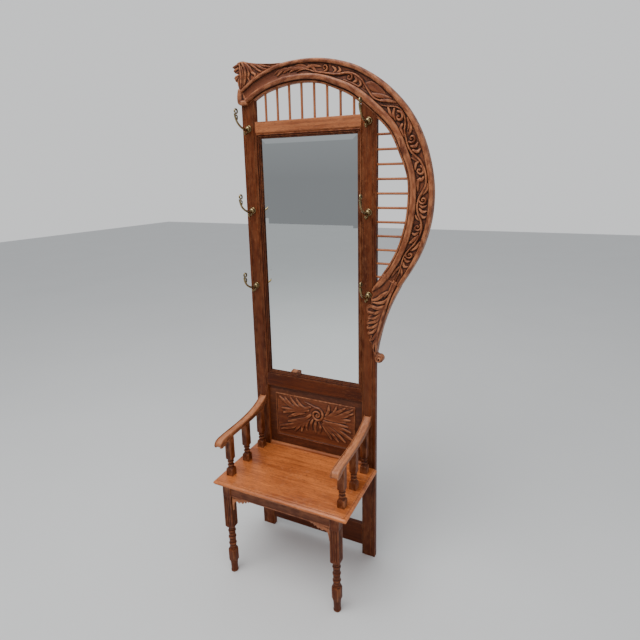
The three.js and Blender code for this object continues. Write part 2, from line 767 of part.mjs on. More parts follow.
for (const [word, side] of Object.entries(SIDES)) {
  put(`${word}_stile`, stile(side), frameOak);
  put(`${word}_front_leg`, leg(side), frameOak);
  put(`${word}_side_apron`, sideApron(side), frameOak);
  put(`${word}_apron_bracket`, bracket(side), carvedOak);
  put(`${word}_arm`, arm(side), railOak);
  SPINDLE.ys.forEach((y, i) => put(`${word}_${PLACES[i]}_spindle`, spindle(side, y), frameOak));
  HOOK_HEIGHTS.forEach((z, i) => put(`${word}_${LEVELS[i]}_hook`, hook(side, z), antiqueBrass));
}

put('seat_board', seatBoard(), seatOak);
put('seat_back_strip', seatStrip(), frameOak);
put('front_apron', frontApron(), frameOak);
put('back_panel', backPanel(), frameOak);
put('panel_bead', panelBead(), frameOak);
put('carved_panel', carvedTablet(), carvedOak);
put('mirror_moulding', mirrorMoulding(), frameOak);
put('mirror_glass', glassPlate(), mirrorGlass);
put('mirror_backboard', backboard(), backPine);

const boards = harpBoards();
for (const [name, piece] of Object.entries(boards)) {
  put(name, piece, carvedOak);
}
put('lion_head', lionHead(boards.harp_left), carvedOak);

for (let i = 0; i < UPRIGHT_RODS.count; i += 1) {
  put(`upright_rod_${i + 1}`, uprightRod(i, 0), railOak);
}
for (let i = 0; i < SIDE_RODS.count; i += 1) {
  put(`side_rod_${i + 1}`, sideRod(i, 0), railOak);
}

// The origin is the middle of the base of the box round the whole piece.
const box = new THREE.Box3().setFromObject(tree);
const middle = box.getCenter(new THREE.Vector3());
tree.position.set(-middle.x, -middle.y, -box.min.z);

export default tree;
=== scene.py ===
"""A carved oak hall tree: mirror frame, seat with arms, brass hooks and a harp-shaped crest.

Points are worked out in millimetres from the datum: x = 0 midway between the two stiles,
y = 0 on the front face of the stiles, z = 0 on the floor. Every piece is turned into metres
in the frame's own place when its mesh is made.
"""

import math

import bmesh
import bpy
import numpy as np
from mathutils import Matrix, Vector
from mathutils.geometry import delaunay_2d_cdt


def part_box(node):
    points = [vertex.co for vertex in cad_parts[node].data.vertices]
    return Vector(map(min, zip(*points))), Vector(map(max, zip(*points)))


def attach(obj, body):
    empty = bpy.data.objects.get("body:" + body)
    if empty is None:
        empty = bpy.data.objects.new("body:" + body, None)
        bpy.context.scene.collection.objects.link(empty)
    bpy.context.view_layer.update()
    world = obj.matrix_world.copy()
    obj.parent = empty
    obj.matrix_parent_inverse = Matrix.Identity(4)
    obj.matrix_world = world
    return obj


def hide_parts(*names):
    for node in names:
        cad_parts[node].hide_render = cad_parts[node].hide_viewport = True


bl_info = {
    "name": "Carved oak hall tree",
    "version": (1, 0, 0),
    "blender": (4, 5, 0),
    "location": "3D View > Sidebar > Hall tree",
    "description": "Builds a hall tree with a harp crest, a lion's head, a mirror, a seat and hooks",
    "category": "Object",
}

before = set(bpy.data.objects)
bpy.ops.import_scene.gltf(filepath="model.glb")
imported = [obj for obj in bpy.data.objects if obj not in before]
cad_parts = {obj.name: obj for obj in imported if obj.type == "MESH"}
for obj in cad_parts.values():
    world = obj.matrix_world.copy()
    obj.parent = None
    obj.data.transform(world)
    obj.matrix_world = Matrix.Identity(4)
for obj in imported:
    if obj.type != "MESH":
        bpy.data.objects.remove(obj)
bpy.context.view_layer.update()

MM = 0.001
FIT = 0.3               # gap between two pieces that touch
HARP_FRONT = -16.0      # the harp's rims stand this far in front of the stiles
HARP_BACK = 24.0


def find_datum():
    """The datum's place in metres: between the stiles, on their front face, on the floor."""
    left_low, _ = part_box("left_stile")
    _, right_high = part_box("right_stile")
    return np.array([(left_low.x + right_high.x) / 2, left_low.y, 0.0])


DATUM = find_datum()


def span(node):
    """A node's lowest and highest corners, in millimetres from the datum."""
    low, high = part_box(node)
    return (np.array(low) - DATUM) / MM, (np.array(high) - DATUM) / MM


# ---- sizes and colours a maker would change -------------------------------------------

def colour(name, text, default):
    return bpy.props.FloatVectorProperty(
        name=name, description=text, default=default, size=3, min=0.0, max=1.0, subtype="COLOR")


def length(name, text, default):
    return bpy.props.FloatProperty(
        name=name, description=text, default=default * MM, min=0.0, unit="LENGTH")


def share(name, text, default):
    return bpy.props.FloatProperty(
        name=name, description=text, default=default, min=0.0, max=1.0, subtype="FACTOR")


class HallTreeSizes(bpy.types.PropertyGroup):
    edge_radius: length("Edge radius", "Rounding on the long edges of the frame", 1.6)
    bead_depth: length("Bead depth", "Depth of the quirk beside each bead", 2.2)
    vine_relief: length("Vine relief", "How far the vine stands up from the harp's hollow", 10.0)
    panel_relief: length("Panel relief", "How far the back panel's leaves stand up", 7.0)
    foot_relief: length("Foot relief", "How deep the leaves at the harp's foot are cut", 8.0)
    mane_relief: length("Mane relief", "How deep the lion's mane is cut", 9.0)
    flute_depth: length("Flute depth", "Depth of the flutes on the front legs", 2.6)


class HallTreeFinish(bpy.types.PropertyGroup):
    frame_light: colour("Frame, light grain", "Lighter grain of the frame", (0.150, 0.032, 0.007))
    frame_dark: colour("Frame, dark grain", "Darker grain of the frame", (0.048, 0.008, 0.002))
    carved_light: colour("Carving, light grain", "Lighter grain of carved oak", (0.230, 0.062, 0.020))
    carved_dark: colour("Carving, dark grain", "Darker grain of carved oak", (0.085, 0.018, 0.006))
    seat_light: colour("Seat, light grain", "Lighter grain of the seat", (0.64, 0.185, 0.046))
    seat_dark: colour("Seat, dark grain", "Darker grain of the seat", (0.24, 0.052, 0.012))
    rail_light: colour("Rail, light grain", "Lighter grain of rails, arms and rods", (0.46, 0.155, 0.056))
    rail_dark: colour("Rail, dark grain", "Darker grain of rails, arms and rods", (0.19, 0.048, 0.015))
    arm_light: colour("Arm, light grain", "Lighter grain of the arms", (0.47, 0.17, 0.068))
    arm_dark: colour("Arm, dark grain", "Darker grain of the arms", (0.20, 0.056, 0.020))
    # Colour of old wax in the pores; in the hollows it is laid on for wax and dirt together with painted
    # shade of the recesses.
    grime: colour("Old wax", "Dark wax and dust in hollows", (0.022, 0.007, 0.004))
    # Pale colour for rubbed edges, also laid on raised edges as a painted highlight, and used for the ray
    # flecks.
    worn: colour("Worn edge", "Wood where hands have rubbed the stain away", (0.52, 0.20, 0.085))
    brass_bright: colour("Rubbed brass", "Brass on the high places", (0.34, 0.25, 0.12))
    brass_dark: colour("Brass patina", "Brass in the hollows", (0.035, 0.026, 0.015))
    # How much raised edges are lightened: real rubbing plus a painted highlight.
    wear: share("Wear", "How much the edges are rubbed", 0.55)


class HallTreeStage(bpy.types.PropertyGroup):
    floor_colour: colour("Floor", "Colour of the floor", (0.70, 0.70, 0.69))
    sky_strength: bpy.props.FloatProperty(
        name="Sky", description="Strength of the soft light from all round", default=0.60, min=0.0)
    key_power: bpy.props.FloatProperty(
        name="Key light", description="Power of the large overhead light", default=150.0,
        min=0.0, unit="POWER")


def sizes():
    return bpy.context.scene.hall_tree_sizes


def finish():
    return bpy.context.scene.hall_tree_finish


def in_mm(value):
    return value / MM


# ---- curves and outlines ---------------------------------------------------------------

def smooth(points, per_span):
    """A smooth curve through the points, as many steps to each span as asked."""
    points = np.asarray(points, float)
    last = len(points) - 1
    at = np.linspace(0, last, last * per_span + 1)
    return spline_at(points, at)


def spline_at(points, at):
    """Places along the smooth curve; 1.5 is halfway between the second and third point."""
    points = np.asarray(points, float)
    last = len(points) - 1
    at = np.asarray(at, float)
    i = np.clip(np.floor(at).astype(int), 0, last - 1)
    w = (at - i)[..., None]
    p1, p2 = points[i], points[i + 1]
    p0 = np.where((i == 0)[..., None], p1, points[np.maximum(i - 1, 0)])
    p3 = np.where((i >= last - 1)[..., None], p2, points[np.minimum(i + 2, last)])
    v0, v1 = (p2 - p0) / 2, (p3 - p1) / 2
    return (2 * p1 - 2 * p2 + v0 + v1) * w**3 + (3 * p2 - 3 * p1 - 2 * v0 - v1) * w**2 + v0 * w + p1


def rounded(points, radius, steps=3, support=1.2):
    """A closed outline with its corners turned to arcs, and a point just past each arc."""
    points = np.asarray(points, float)
    out = []
    for i, corner in enumerate(points):
        before, after = points[i - 1] - corner, points[(i + 1) % len(points)] - corner
        room = min(np.linalg.norm(before), np.linalg.norm(after))
        to_before = before / np.linalg.norm(before)
        to_after = after / np.linalg.norm(after)
        half = math.acos(float(np.clip(to_before @ to_after, -1, 1))) / 2
        if half > math.radians(84):
            out.append(corner)
            continue
        cut = min(radius / math.tan(half), room * 0.45)
        arc = cut * math.tan(half)
        centre = corner + (to_before + to_after) / np.linalg.norm(to_before + to_after) * (
            arc / math.sin(half))
        start, end = corner + to_before * cut, corner + to_after * cut
        if cut + support < room * 0.5:
            out.append(start + to_before * support)
        a, b = start - centre, end - centre
        turn = math.acos(float(np.clip(a @ b / (arc * arc), -1, 1)))
        for k in range(steps + 1):
            f = k / steps
            out.append(centre + (math.sin((1 - f) * turn) * a + math.sin(f * turn) * b) / math.sin(turn))
        if cut + support < room * 0.5:
            out.append(end + to_after * support)
    return np.array(out)


def inset(points, amount):
    """A closed outline moved inwards by the amount; the outline runs anticlockwise."""
    points = np.asarray(points, float)
    before, after = np.roll(points, 1, axis=0), np.roll(points, -1, axis=0)
    a, b = points - before, after - points
    a /= np.linalg.norm(a, axis=1, keepdims=True) + 1e-12
    b /= np.linalg.norm(b, axis=1, keepdims=True) + 1e-12
    normal = np.stack([-(a + b)[:, 1], (a + b)[:, 0]], axis=1)
    normal /= np.linalg.norm(normal, axis=1, keepdims=True) + 1e-12
    stretch = 1 / np.clip((normal * np.stack([-a[:, 1], a[:, 0]], 1)).sum(1), 0.6, 1)
    return points + normal * (amount * stretch)[:, None]


def anticlockwise(points):
    points = np.asarray(points, float)
    x, y = points[:, 0], points[:, 1]
    area = (x * np.roll(y, -1) - np.roll(x, -1) * y).sum()
    return points if area > 0 else points[::-1]


# ---- shapes ----------------------------------------------------------------------------

class Shape:
    """Points and faces, gathered part by part into one piece."""

    def __init__(self):
        self.points = []
        self.faces = []
        self.count = 0

    def add(self, points, faces):
        points = np.asarray(points, float).reshape(-1, 3)
        start = self.count
        self.points.append(points)
        self.faces.extend(tuple(int(i) + start for i in face) for face in faces)
        self.count += len(points)
        return self

    def loft(self, rings, closed=False):
        """Joins rings of the same number of points; both ends are capped unless it is closed."""
        rings = np.asarray(rings, float)
        rows, around = rings.shape[:2]
        faces = []
        for row in range(rows if closed else rows - 1):
            a, b = row * around, (row + 1) % rows * around
            for i in range(around):
                j = (i + 1) % around
                faces.append((a + i, a + j, b + j, b + i))
        if not closed:
            faces.append(tuple(range(around))[::-1])
            faces.append(tuple(range((rows - 1) * around, rows * around)))
        return self.add(rings, faces)

    def turned(self, profile, centre, sides=32):
        """A turning about a vertical axis, from radius and height pairs."""
        angle = np.arange(sides) * 2 * math.pi / sides
        rings = [np.stack([centre[0] + r * np.cos(angle), centre[1] + r * np.sin(angle),
                           np.full(sides, z)], axis=1) for r, z in profile]
        return self.loft(rings)

    def tube(self, path, radii, sides=14, flat=1.0):
        """A round or flattened bar along a path; the flat side faces across the x axis."""
        path = np.asarray(path, float)
        radii = np.broadcast_to(np.asarray(radii, float), (len(path),))
        along = np.gradient(path, axis=0)
        along /= np.linalg.norm(along, axis=1, keepdims=True)
        side = np.array([1.0, 0.0, 0.0])
        angle = np.arange(sides) * 2 * math.pi / sides
        rings = []
        for p, d, r in zip(path, along, radii):
            u = side - d * (side @ d)
            if np.linalg.norm(u) < 0.3:
                u = np.array([0.0, 0.0, 1.0]) - d * d[2]
            u /= np.linalg.norm(u)
            v = np.cross(d, u)
            rings.append(p + r * (flat * np.cos(angle)[:, None] * u + np.sin(angle)[:, None] * v))
        return self.loft(rings)


def along_axis(outline, axis, start, end):
    """Rings of a constant outline, set out along x, y or z between two places."""
    outline = np.asarray(outline, float)
    near = 2.0 if abs(end - start) > 8 else 0.0
    places = (start, start + near, end - near, end) if near else sorted({start, end})
    rings = []
    for place in places:
        column = np.full(len(outline), float(place))
        order = {"x": (column, outline[:, 0], outline[:, 1]),
                 "y": (outline[:, 0], column, outline[:, 1]),
                 "z": (outline[:, 0], outline[:, 1], column)}[axis]
        rings.append(np.stack(order, axis=1))
    return rings


def plate_rings(outline, axis, start, end, radius, steps=3):
    """Rings of a board cut to an outline, with both of its faces' edges rounded over."""
    outline = anticlockwise(outline)
    rings = []

    def ring(place, cut):
        rings.append(along_axis(inset(outline, cut), axis, place, place)[0])

    ring(start, radius + 1.2)
    for k in range(steps + 1):
        turn = k / steps * math.pi / 2
        ring(start + radius * (1 - math.sin(turn)), radius * (1 - math.cos(turn)))
    for k in range(steps, -1, -1):
        turn = k / steps * math.pi / 2
        ring(end - radius * (1 - math.sin(turn)), radius * (1 - math.cos(turn)))
    ring(end, radius + 1.2)
    return rings


# ---- pieces ----------------------------------------------------------------------------

GRAIN_AXES = {
    "x": ((1, 0, 0), (0, 0, 1), (0, 1, 0)),
    "y": ((0, 1, 0), (1, 0, 0), (0, 0, 1)),
    "z": ((0, 0, 1), (1, 0, 0), (0, 1, 0)),
}
MADE = {}


def leaning(dx, dz):
    """Grain that runs along a slant in the plane of the back."""
    size = math.hypot(dx, dz)
    dx, dz = dx / size, dz / size
    return ((dx, 0, dz), (-dz, 0, dx), (0, 1, 0))


def set_values(mesh, name, kind, values):
    layer = mesh.attributes.new(name, kind, "POINT")
    key = "vector" if kind == "FLOAT_VECTOR" else "value"
    layer.data.foreach_set(key, np.ascontiguousarray(values, np.float32).ravel())


def read_mesh(mesh):
    count = len(mesh.vertices)
    places, normals = np.empty(count * 3), np.empty(count * 3)
    mesh.vertices.foreach_get("co", places)
    mesh.vertices.foreach_get("normal", normals)
    pairs = np.empty(len(mesh.edges) * 2, np.int32)
    mesh.edges.foreach_get("vertices", pairs)
    return places.reshape(-1, 3), normals.reshape(-1, 3), pairs.reshape(-1, 2)


def neighbour_mean(values, pairs):
    """The mean of each point's neighbours."""
    total = np.zeros_like(values)
    count = np.zeros(len(values))
    for a, b in ((0, 1), (1, 0)):
        np.add.at(total, pairs[:, a], values[pairs[:, b]])
        np.add.at(count, pairs[:, a], 1)
    return total / np.maximum(count, 1).reshape((-1,) + (1,) * (values.ndim - 1))


def mark_edges(mesh, carved):
    """Writes how far each point is a raised edge, and how far it lies in a hollow, from 0 to 1."""
    places, normals, pairs = read_mesh(mesh)
    if carved:
        soft = places
        for _ in range(14):
            soft = neighbour_mean(soft, pairs)
        depth = ((soft - places) * normals).sum(1) / MM
        depth = 0.5 * depth + 0.5 * neighbour_mean(depth, pairs)
        edge, hollow = np.clip(-depth / 0.9, 0, 1), np.clip(depth / 1.1, 0, 1)
    else:
        rise = np.zeros(len(places))
        count = np.zeros(len(places))
        for a, b in ((0, 1), (1, 0)):
            step = places[pairs[:, b]] - places[pairs[:, a]]
            step /= np.linalg.norm(step, axis=1, keepdims=True) + 1e-12
            np.add.at(rise, pairs[:, a], (step * normals[pairs[:, a]]).sum(1))
            np.add.at(count, pairs[:, a], 1)
        rise /= np.maximum(count, 1)
        edge, hollow = np.clip(-rise / 0.22, 0, 1), np.clip(rise / 0.22, 0, 1)
    set_values(mesh, "edge", "FLOAT", edge)
    set_values(mesh, "hollow", "FLOAT", hollow)


def make_piece(name, shape, material, replaces=(), grain="z", carved=False, sharp=38):
    """Turns a shape into a finished piece that stands for the CAD nodes it replaces."""
    mesh = bpy.data.meshes.new(name)
    points = np.concatenate(shape.points) * MM + DATUM
    mesh.from_pydata(points.tolist(), [], shape.faces)
    work = bmesh.new()
    work.from_mesh(mesh)
    bmesh.ops.recalc_face_normals(work, faces=work.faces)
    work.to_mesh(mesh)
    work.free()
    piece = bpy.data.objects.new(name, mesh)
    bpy.context.scene.collection.objects.link(piece)
    mesh.shade_smooth()
    mesh.set_sharp_from_angle(angle=math.radians(sharp))
    mark_edges(mesh, carved)
    axes = np.array(GRAIN_AXES[grain] if isinstance(grain, str) else grain, float)
    number = len(MADE) + 1
    MADE[name] = piece
    places, _, _ = read_mesh(mesh)
    offset = np.array([0.37 * number, 0.113 * number % 1.7, 0.071 * number % 1.3])
    set_values(mesh, "grain", "FLOAT_VECTOR", places @ axes.T + offset)
    mesh.materials.append(material)
    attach(piece, "root")
    if replaces:
        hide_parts(*replaces)
    return piece


def bare_object(name, shape):
    """A plain object for a cut, with its faces turned outwards."""
    mesh = bpy.data.meshes.new(name)
    mesh.from_pydata((np.concatenate(shape.points) * MM).tolist(), [], shape.faces)
    work = bmesh.new()
    work.from_mesh(mesh)
    bmesh.ops.recalc_face_normals(work, faces=work.faces)
    work.to_mesh(mesh)
    work.free()
    made = bpy.data.objects.new(name, mesh)
    bpy.context.scene.collection.objects.link(made)
    return made


def with_room(shape, room):
    """A closed shape with a box of space cut out, to leave room for the post it is fitted over."""
    low, high = room
    corners = [(low[0], low[1]), (high[0], low[1]), (high[0], high[1]), (low[0], high[1])]
    target = bare_object("board", shape)
    cutter = bare_object("room", Shape().loft(along_axis(corners, "z", low[2], high[2])))
    cut = target.modifiers.new("room", "BOOLEAN")
    cut.object = cutter
    cut.operation = "DIFFERENCE"
    cut.solver = "EXACT"
    scene_now = bpy.context.evaluated_depsgraph_get()
    done = bpy.data.meshes.new_from_object(target.evaluated_get(scene_now))
    places, _, _ = read_mesh(done)
    result = Shape().add(places / MM, [tuple(face.vertices) for face in done.polygons])
    for made in (target, cutter):
        mesh = made.data
        bpy.data.objects.remove(made)
        bpy.data.meshes.remove(mesh)
    bpy.data.meshes.remove(done)
    return result


# ---- materials -------------------------------------------------------------------------

class Graph:
    """A few short ways to place and join shader nodes."""

    def __init__(self, tree):
        self.tree = tree

    def node(self, kind, **settings):
        made = self.tree.nodes.new(kind)
        for key, value in settings.items():
            setattr(made, key, value)
        return made

    def join(self, source, target):
        self.tree.links.new(source, target)

    def math(self, operation, a, b=None, clamp=False):
        made = self.node("ShaderNodeMath", operation=operation, use_clamp=clamp)
        for socket, value in zip(made.inputs, (a, b)):
            self.put(value, socket)
        return made.outputs[0]

    def put(self, value, socket):
        if value is None:
            return
        if isinstance(value, bpy.types.NodeSocket):
            self.join(value, socket)
        else:
            socket.default_value = value

    def blend(self, factor, a, b, kind="MIX"):
        made = self.node("ShaderNodeMix", data_type="RGBA", blend_type=kind)
        made.clamp_factor = True
        for socket, value in ((made.inputs[0], factor), (made.inputs[6], a), (made.inputs[7], b)):
            self.put(value, socket)
        return made.outputs[2]

    def noise(self, vector, scale, detail=3.0, rough=0.55, bend=0.0):
        stretch = self.node("ShaderNodeMapping")
        stretch.inputs["Scale"].default_value = scale
        self.join(vector, stretch.inputs["Vector"])
        made = self.node("ShaderNodeTexNoise")
        made.inputs["Scale"].default_value = 1.0
        made.inputs["Detail"].default_value = detail
        made.inputs["Roughness"].default_value = rough
        made.inputs["Distortion"].default_value = bend
        self.join(stretch.outputs[0], made.inputs["Vector"])
        return made.outputs["Fac"]

    def steps(self, value, low, high):
        """0 below the low value, 1 above the high value, and an even slope between."""
        made = self.node("ShaderNodeMapRange", interpolation_type="SMOOTHSTEP")
        self.join(value, made.inputs["Value"])
        made.inputs["From Min"].default_value = low
        made.inputs["From Max"].default_value = high
        return made.outputs["Result"]

    def attribute(self, name):
        return self.node("ShaderNodeAttribute", attribute_name=name)

    def group(self, name, **values):
        made = self.node("ShaderNodeGroup", node_tree=bpy.data.node_groups[name])
        for key, value in values.items():
            self.put(value, made.inputs[key.replace("_", " ")])
        return made


SOCKETS = {"value": "NodeSocketFloat", "colour": "NodeSocketColor", "vector": "NodeSocketVector"}


def new_group(name, inputs, outputs):
    """A shader node group with named sockets. It returns its graph, its input and its output."""
    tree = bpy.data.node_groups.new(name, "ShaderNodeTree")
    for direction, entries in (("INPUT", inputs), ("OUTPUT", outputs)):
        for socket_name, kind in entries:
            tree.interface.new_socket(socket_name, in_out=direction, socket_type=SOCKETS[kind])
    graph = Graph(tree)
    return graph, graph.node("NodeGroupInput"), graph.node("NodeGroupOutput")


def build_grain_group():
    """Oak figure along the grain: broad rings, fine pores, ray flecks and slow mottling."""
    graph, _, out = new_group("Oak grain", [], [
        ("Rings", "value"), ("Pores", "value"), ("Flecks", "value"), ("Mottle", "value")])
    straight = graph.attribute("grain").outputs["Vector"]
    drift = graph.node("ShaderNodeCombineXYZ")
    graph.join(graph.math("MULTIPLY", graph.noise(straight, (2.4, 5.0, 5.0)), 0.03), drift.inputs["Y"])
    wavy = graph.node("ShaderNodeVectorMath", operation="ADD")
    graph.join(straight, wavy.inputs[0])
    graph.join(drift.outputs[0], wavy.inputs[1])
    place = wavy.outputs[0]
    broad = graph.noise(place, (1.3, 42.0, 36.0), detail=3.0)
    fine = graph.noise(place, (9.0, 420.0, 380.0), detail=3.0)
    streak = graph.noise(place, (3.6, 150.0, 130.0), detail=3.0)
    mixed = graph.math("ADD", graph.math("MULTIPLY", broad, 0.32), graph.math("MULTIPLY", fine, 0.3))
    mixed = graph.math("ADD", mixed, graph.math("MULTIPLY", streak, 0.38))
    graph.join(graph.steps(mixed, 0.38, 0.62), out.inputs["Rings"])
    dashes = graph.noise(place, (75.0, 820.0, 800.0), detail=2.0, rough=0.5)
    graph.join(graph.steps(dashes, 0.55, 0.68), out.inputs["Pores"])
    rays = graph.noise(place, (55.0, 130.0, 60.0), detail=2.0, rough=0.5, bend=0.5)
    patch = graph.steps(graph.noise(place, (3.0, 14.0, 14.0)), 0.42, 0.6)
    graph.join(graph.math("MULTIPLY", graph.steps(rays, 0.57, 0.66), patch), out.inputs["Flecks"])
    cloud = graph.noise(place, (4.0, 9.0, 9.0), detail=4.0, rough=0.6)
    graph.join(graph.steps(cloud, 0.34, 0.66), out.inputs["Mottle"])


def build_wear_group():
    """Where a piece is lightened on its raised edges, for rubbing and a painted highlight, and darkened in
    its hollows, for old wax and dirt and painted shade.
    """
    graph, source, out = new_group("Edge wear", [("Wear", "value"), ("Grime", "value")],
                                   [("Edge", "value"), ("Hollow", "value")])
    place = graph.attribute("grain").outputs["Vector"]
    # Raised edges are lightened in patches, for rubbing and for a painted highlight where light catches them.
    rub = graph.steps(graph.noise(place, (26.0, 60.0, 60.0), detail=4.0), 0.34, 0.66)
    edge = graph.math("MULTIPLY", graph.attribute("edge").outputs["Fac"], rub)
    graph.join(graph.math("MULTIPLY", edge, source.outputs["Wear"], clamp=True), out.inputs["Edge"])
    # Hollows are darkened in patches, for wax and dirt and for painted shade in the recesses.
    dust = graph.steps(graph.noise(place, (40.0, 70.0, 70.0), detail=3.0), 0.1, 0.6)
    hollow = graph.math("MULTIPLY", graph.attribute("hollow").outputs["Fac"], dust)
    graph.join(graph.math("MULTIPLY", hollow, source.outputs["Grime"], clamp=True),
               out.inputs["Hollow"])


def build_oak_group():
    """Stained and waxed oak: its colour, roughness and fine height."""
    graph, source, out = new_group("Stained oak", [
        ("Light", "colour"), ("Dark", "colour"), ("Worn", "colour"), ("Wax", "colour"),
        ("Pore depth", "value"), ("Fleck strength", "value"), ("Wear", "value"),
        ("Grime", "value"), ("Sheen", "value"),
    ], [("Color", "colour"), ("Roughness", "value"), ("Height", "value")])
    grain = graph.group("Oak grain")
    wear = graph.group("Edge wear", Wear=source.outputs["Wear"], Grime=source.outputs["Grime"])
    tone = graph.math("ADD", graph.math("MULTIPLY", grain.outputs["Rings"], 0.6),
                      graph.math("MULTIPLY", grain.outputs["Mottle"], 0.42), clamp=True)
    colour_now = graph.blend(tone, source.outputs["Dark"], source.outputs["Light"])
    fleck = graph.math("MULTIPLY", grain.outputs["Flecks"], source.outputs["Fleck strength"])
    colour_now = graph.blend(fleck, colour_now, source.outputs["Worn"])
    pore = graph.math("MULTIPLY", grain.outputs["Pores"], source.outputs["Pore depth"])
    colour_now = graph.blend(pore, colour_now, source.outputs["Wax"])
    # Painted highlight: raised edges take the pale colour, for rubbing and for the light that catches them.
    colour_now = graph.blend(wear.outputs["Edge"], colour_now, source.outputs["Worn"])
    # Painted shade: hollows take the dark wax colour, for wax and dirt and for the shade in the recesses.
    colour_now = graph.blend(wear.outputs["Hollow"], colour_now, source.outputs["Wax"])
    graph.join(colour_now, out.inputs["Color"])
    rough = graph.math("ADD", source.outputs["Sheen"], graph.math("MULTIPLY", grain.outputs["Pores"], 0.14))
    rough = graph.math("ADD", rough, graph.math("MULTIPLY", wear.outputs["Hollow"], 0.25))
    rough = graph.math("ADD", rough, graph.math("MULTIPLY", grain.outputs["Mottle"], 0.08), clamp=True)
    graph.join(rough, out.inputs["Roughness"])
    height = graph.math("SUBTRACT", graph.math("MULTIPLY", grain.outputs["Rings"], 0.25),
                        graph.math("MULTIPLY", grain.outputs["Pores"], 0.8))
    graph.join(height, out.inputs["Height"])


def build_brass_group():
    """Old brass: dark patina in the hollows, rubbed metal on the high places."""
    graph, source, out = new_group("Old brass", [("Bright", "colour"), ("Dark", "colour")],
                                   [("Color", "colour"), ("Roughness", "value")])
    place = graph.attribute("grain").outputs["Vector"]
    cloud = graph.noise(place, (190.0, 190.0, 190.0), detail=4.0, rough=0.6)
    raised = graph.math("MULTIPLY", graph.attribute("edge").outputs["Fac"], 0.7)
    rubbed = graph.math("ADD", graph.steps(cloud, 0.54, 0.80), raised, clamp=True)
    graph.join(graph.blend(rubbed, source.outputs["Dark"], source.outputs["Bright"]),
               out.inputs["Color"])
    graph.join(graph.math("SUBTRACT", 0.42, graph.math("MULTIPLY", rubbed, 0.2)),
               out.inputs["Roughness"])


def new_material(name):
    made = bpy.data.materials.new(name)
    made.use_nodes = True
    graph = Graph(made.node_tree)
    return made, graph, made.node_tree.nodes["Principled BSDF"]


def opaque(values):
    return (*values, 1.0)


def oak(name, light, dark, pores=0.55, flecks=0.12, wear=0.8, grime=0.8, sheen=0.42, coat=0.04,
        specular=0.28):
    made, graph, shader = new_material(name)
    wood = graph.group(
        "Stained oak", Light=opaque(light), Dark=opaque(dark), Worn=opaque(finish().worn),
        Wax=opaque(finish().grime), Pore_depth=pores, Fleck_strength=flecks,
        Wear=wear * finish().wear, Grime=grime, Sheen=sheen)
    graph.join(wood.outputs["Color"], shader.inputs["Base Color"])
    graph.join(wood.outputs["Roughness"], shader.inputs["Roughness"])
    bump = graph.node("ShaderNodeBump")
    bump.inputs["Strength"].default_value = 0.35
    bump.inputs["Distance"].default_value = 0.0006
    graph.join(wood.outputs["Height"], bump.inputs["Height"])
    graph.join(bump.outputs["Normal"], shader.inputs["Normal"])
    shader.inputs["Coat Weight"].default_value = coat
    shader.inputs["Coat Roughness"].default_value = 0.28
    shader.inputs["Specular IOR Level"].default_value = specular
    return made


def brass(name):
    made, graph, shader = new_material(name)
    metal = graph.group("Old brass", Bright=opaque(finish().brass_bright),
                        Dark=opaque(finish().brass_dark))
    graph.join(metal.outputs["Color"], shader.inputs["Base Color"])
    graph.join(metal.outputs["Roughness"], shader.inputs["Roughness"])
    shader.inputs["Metallic"].default_value = 1.0
    return made


def silvered_glass(name):
    """Old silvering: clear in the middle, with faint grey foxing."""
    made, graph, shader = new_material(name)
    place = graph.node("ShaderNodeTexCoord").outputs["Object"]
    spots = graph.steps(graph.noise(place, (38.0, 38.0, 38.0), detail=5.0, rough=0.65), 0.68, 0.8)
    haze = graph.noise(place, (5.0, 5.0, 5.0), detail=3.0)
    colour_now = graph.blend(graph.math("MULTIPLY", haze, 0.5), (0.86, 0.885, 0.88, 1),
                             (0.80, 0.835, 0.835, 1))
    colour_now = graph.blend(graph.math("MULTIPLY", spots, 0.35), colour_now, (0.30, 0.30, 0.28, 1))
    graph.join(colour_now, shader.inputs["Base Color"])
    rough = graph.math("ADD", 0.012, graph.math("MULTIPLY", spots, 0.10))
    graph.join(rough, shader.inputs["Roughness"])
    shader.inputs["Metallic"].default_value = 1.0
    return made


def plain_floor(name, tint):
    made, graph, shader = new_material(name)
    place = graph.node("ShaderNodeTexCoord").outputs["Object"]
    cloud = graph.noise(place, (1.3, 1.3, 1.3), detail=3.0)
    darker = tuple(c * 0.94 for c in tint)
    graph.join(graph.blend(cloud, opaque(tint), opaque(darker)), shader.inputs["Base Color"])
    shader.inputs["Roughness"].default_value = 0.8
    return made


FINISHES = {}


def build_finishes():
    look = finish()
    FINISHES.update({
        "frame": oak("Dark oak frame", look.frame_light, look.frame_dark, specular=0.14),
        # Carvings: strong lightening of raised edges and darkening of hollows, partly real rubbing and wax,
        # partly painted highlight and shade on the relief.
        "carved": oak("Carved oak", look.carved_light, look.carved_dark, wear=1.15, grime=1.0,
                      flecks=0.05),
        "seat": oak("Seat oak", look.seat_light, look.seat_dark, flecks=0.35, sheen=0.3, grime=0.8,
                    pores=0.7, coat=0.3),
        "rail": oak("Rail oak", look.rail_light, look.rail_dark, flecks=0.28),
        # Arms: raised edges lightened strongly, for rubbing and a painted sheen at their ends.
        "arm": oak("Arm oak", look.arm_light, look.arm_dark, flecks=0.8, wear=1.3, sheen=0.32),
        "pine": oak("Pine back", (0.40, 0.25, 0.13), (0.24, 0.13, 0.06), pores=0.15, flecks=0.05,
                    wear=0.3, sheen=0.62, coat=0.0),
        "brass": brass("Old brass"),
        "mirror": silvered_glass("Silvered glass"),
    })


# ---- carving ---------------------------------------------------------------------------

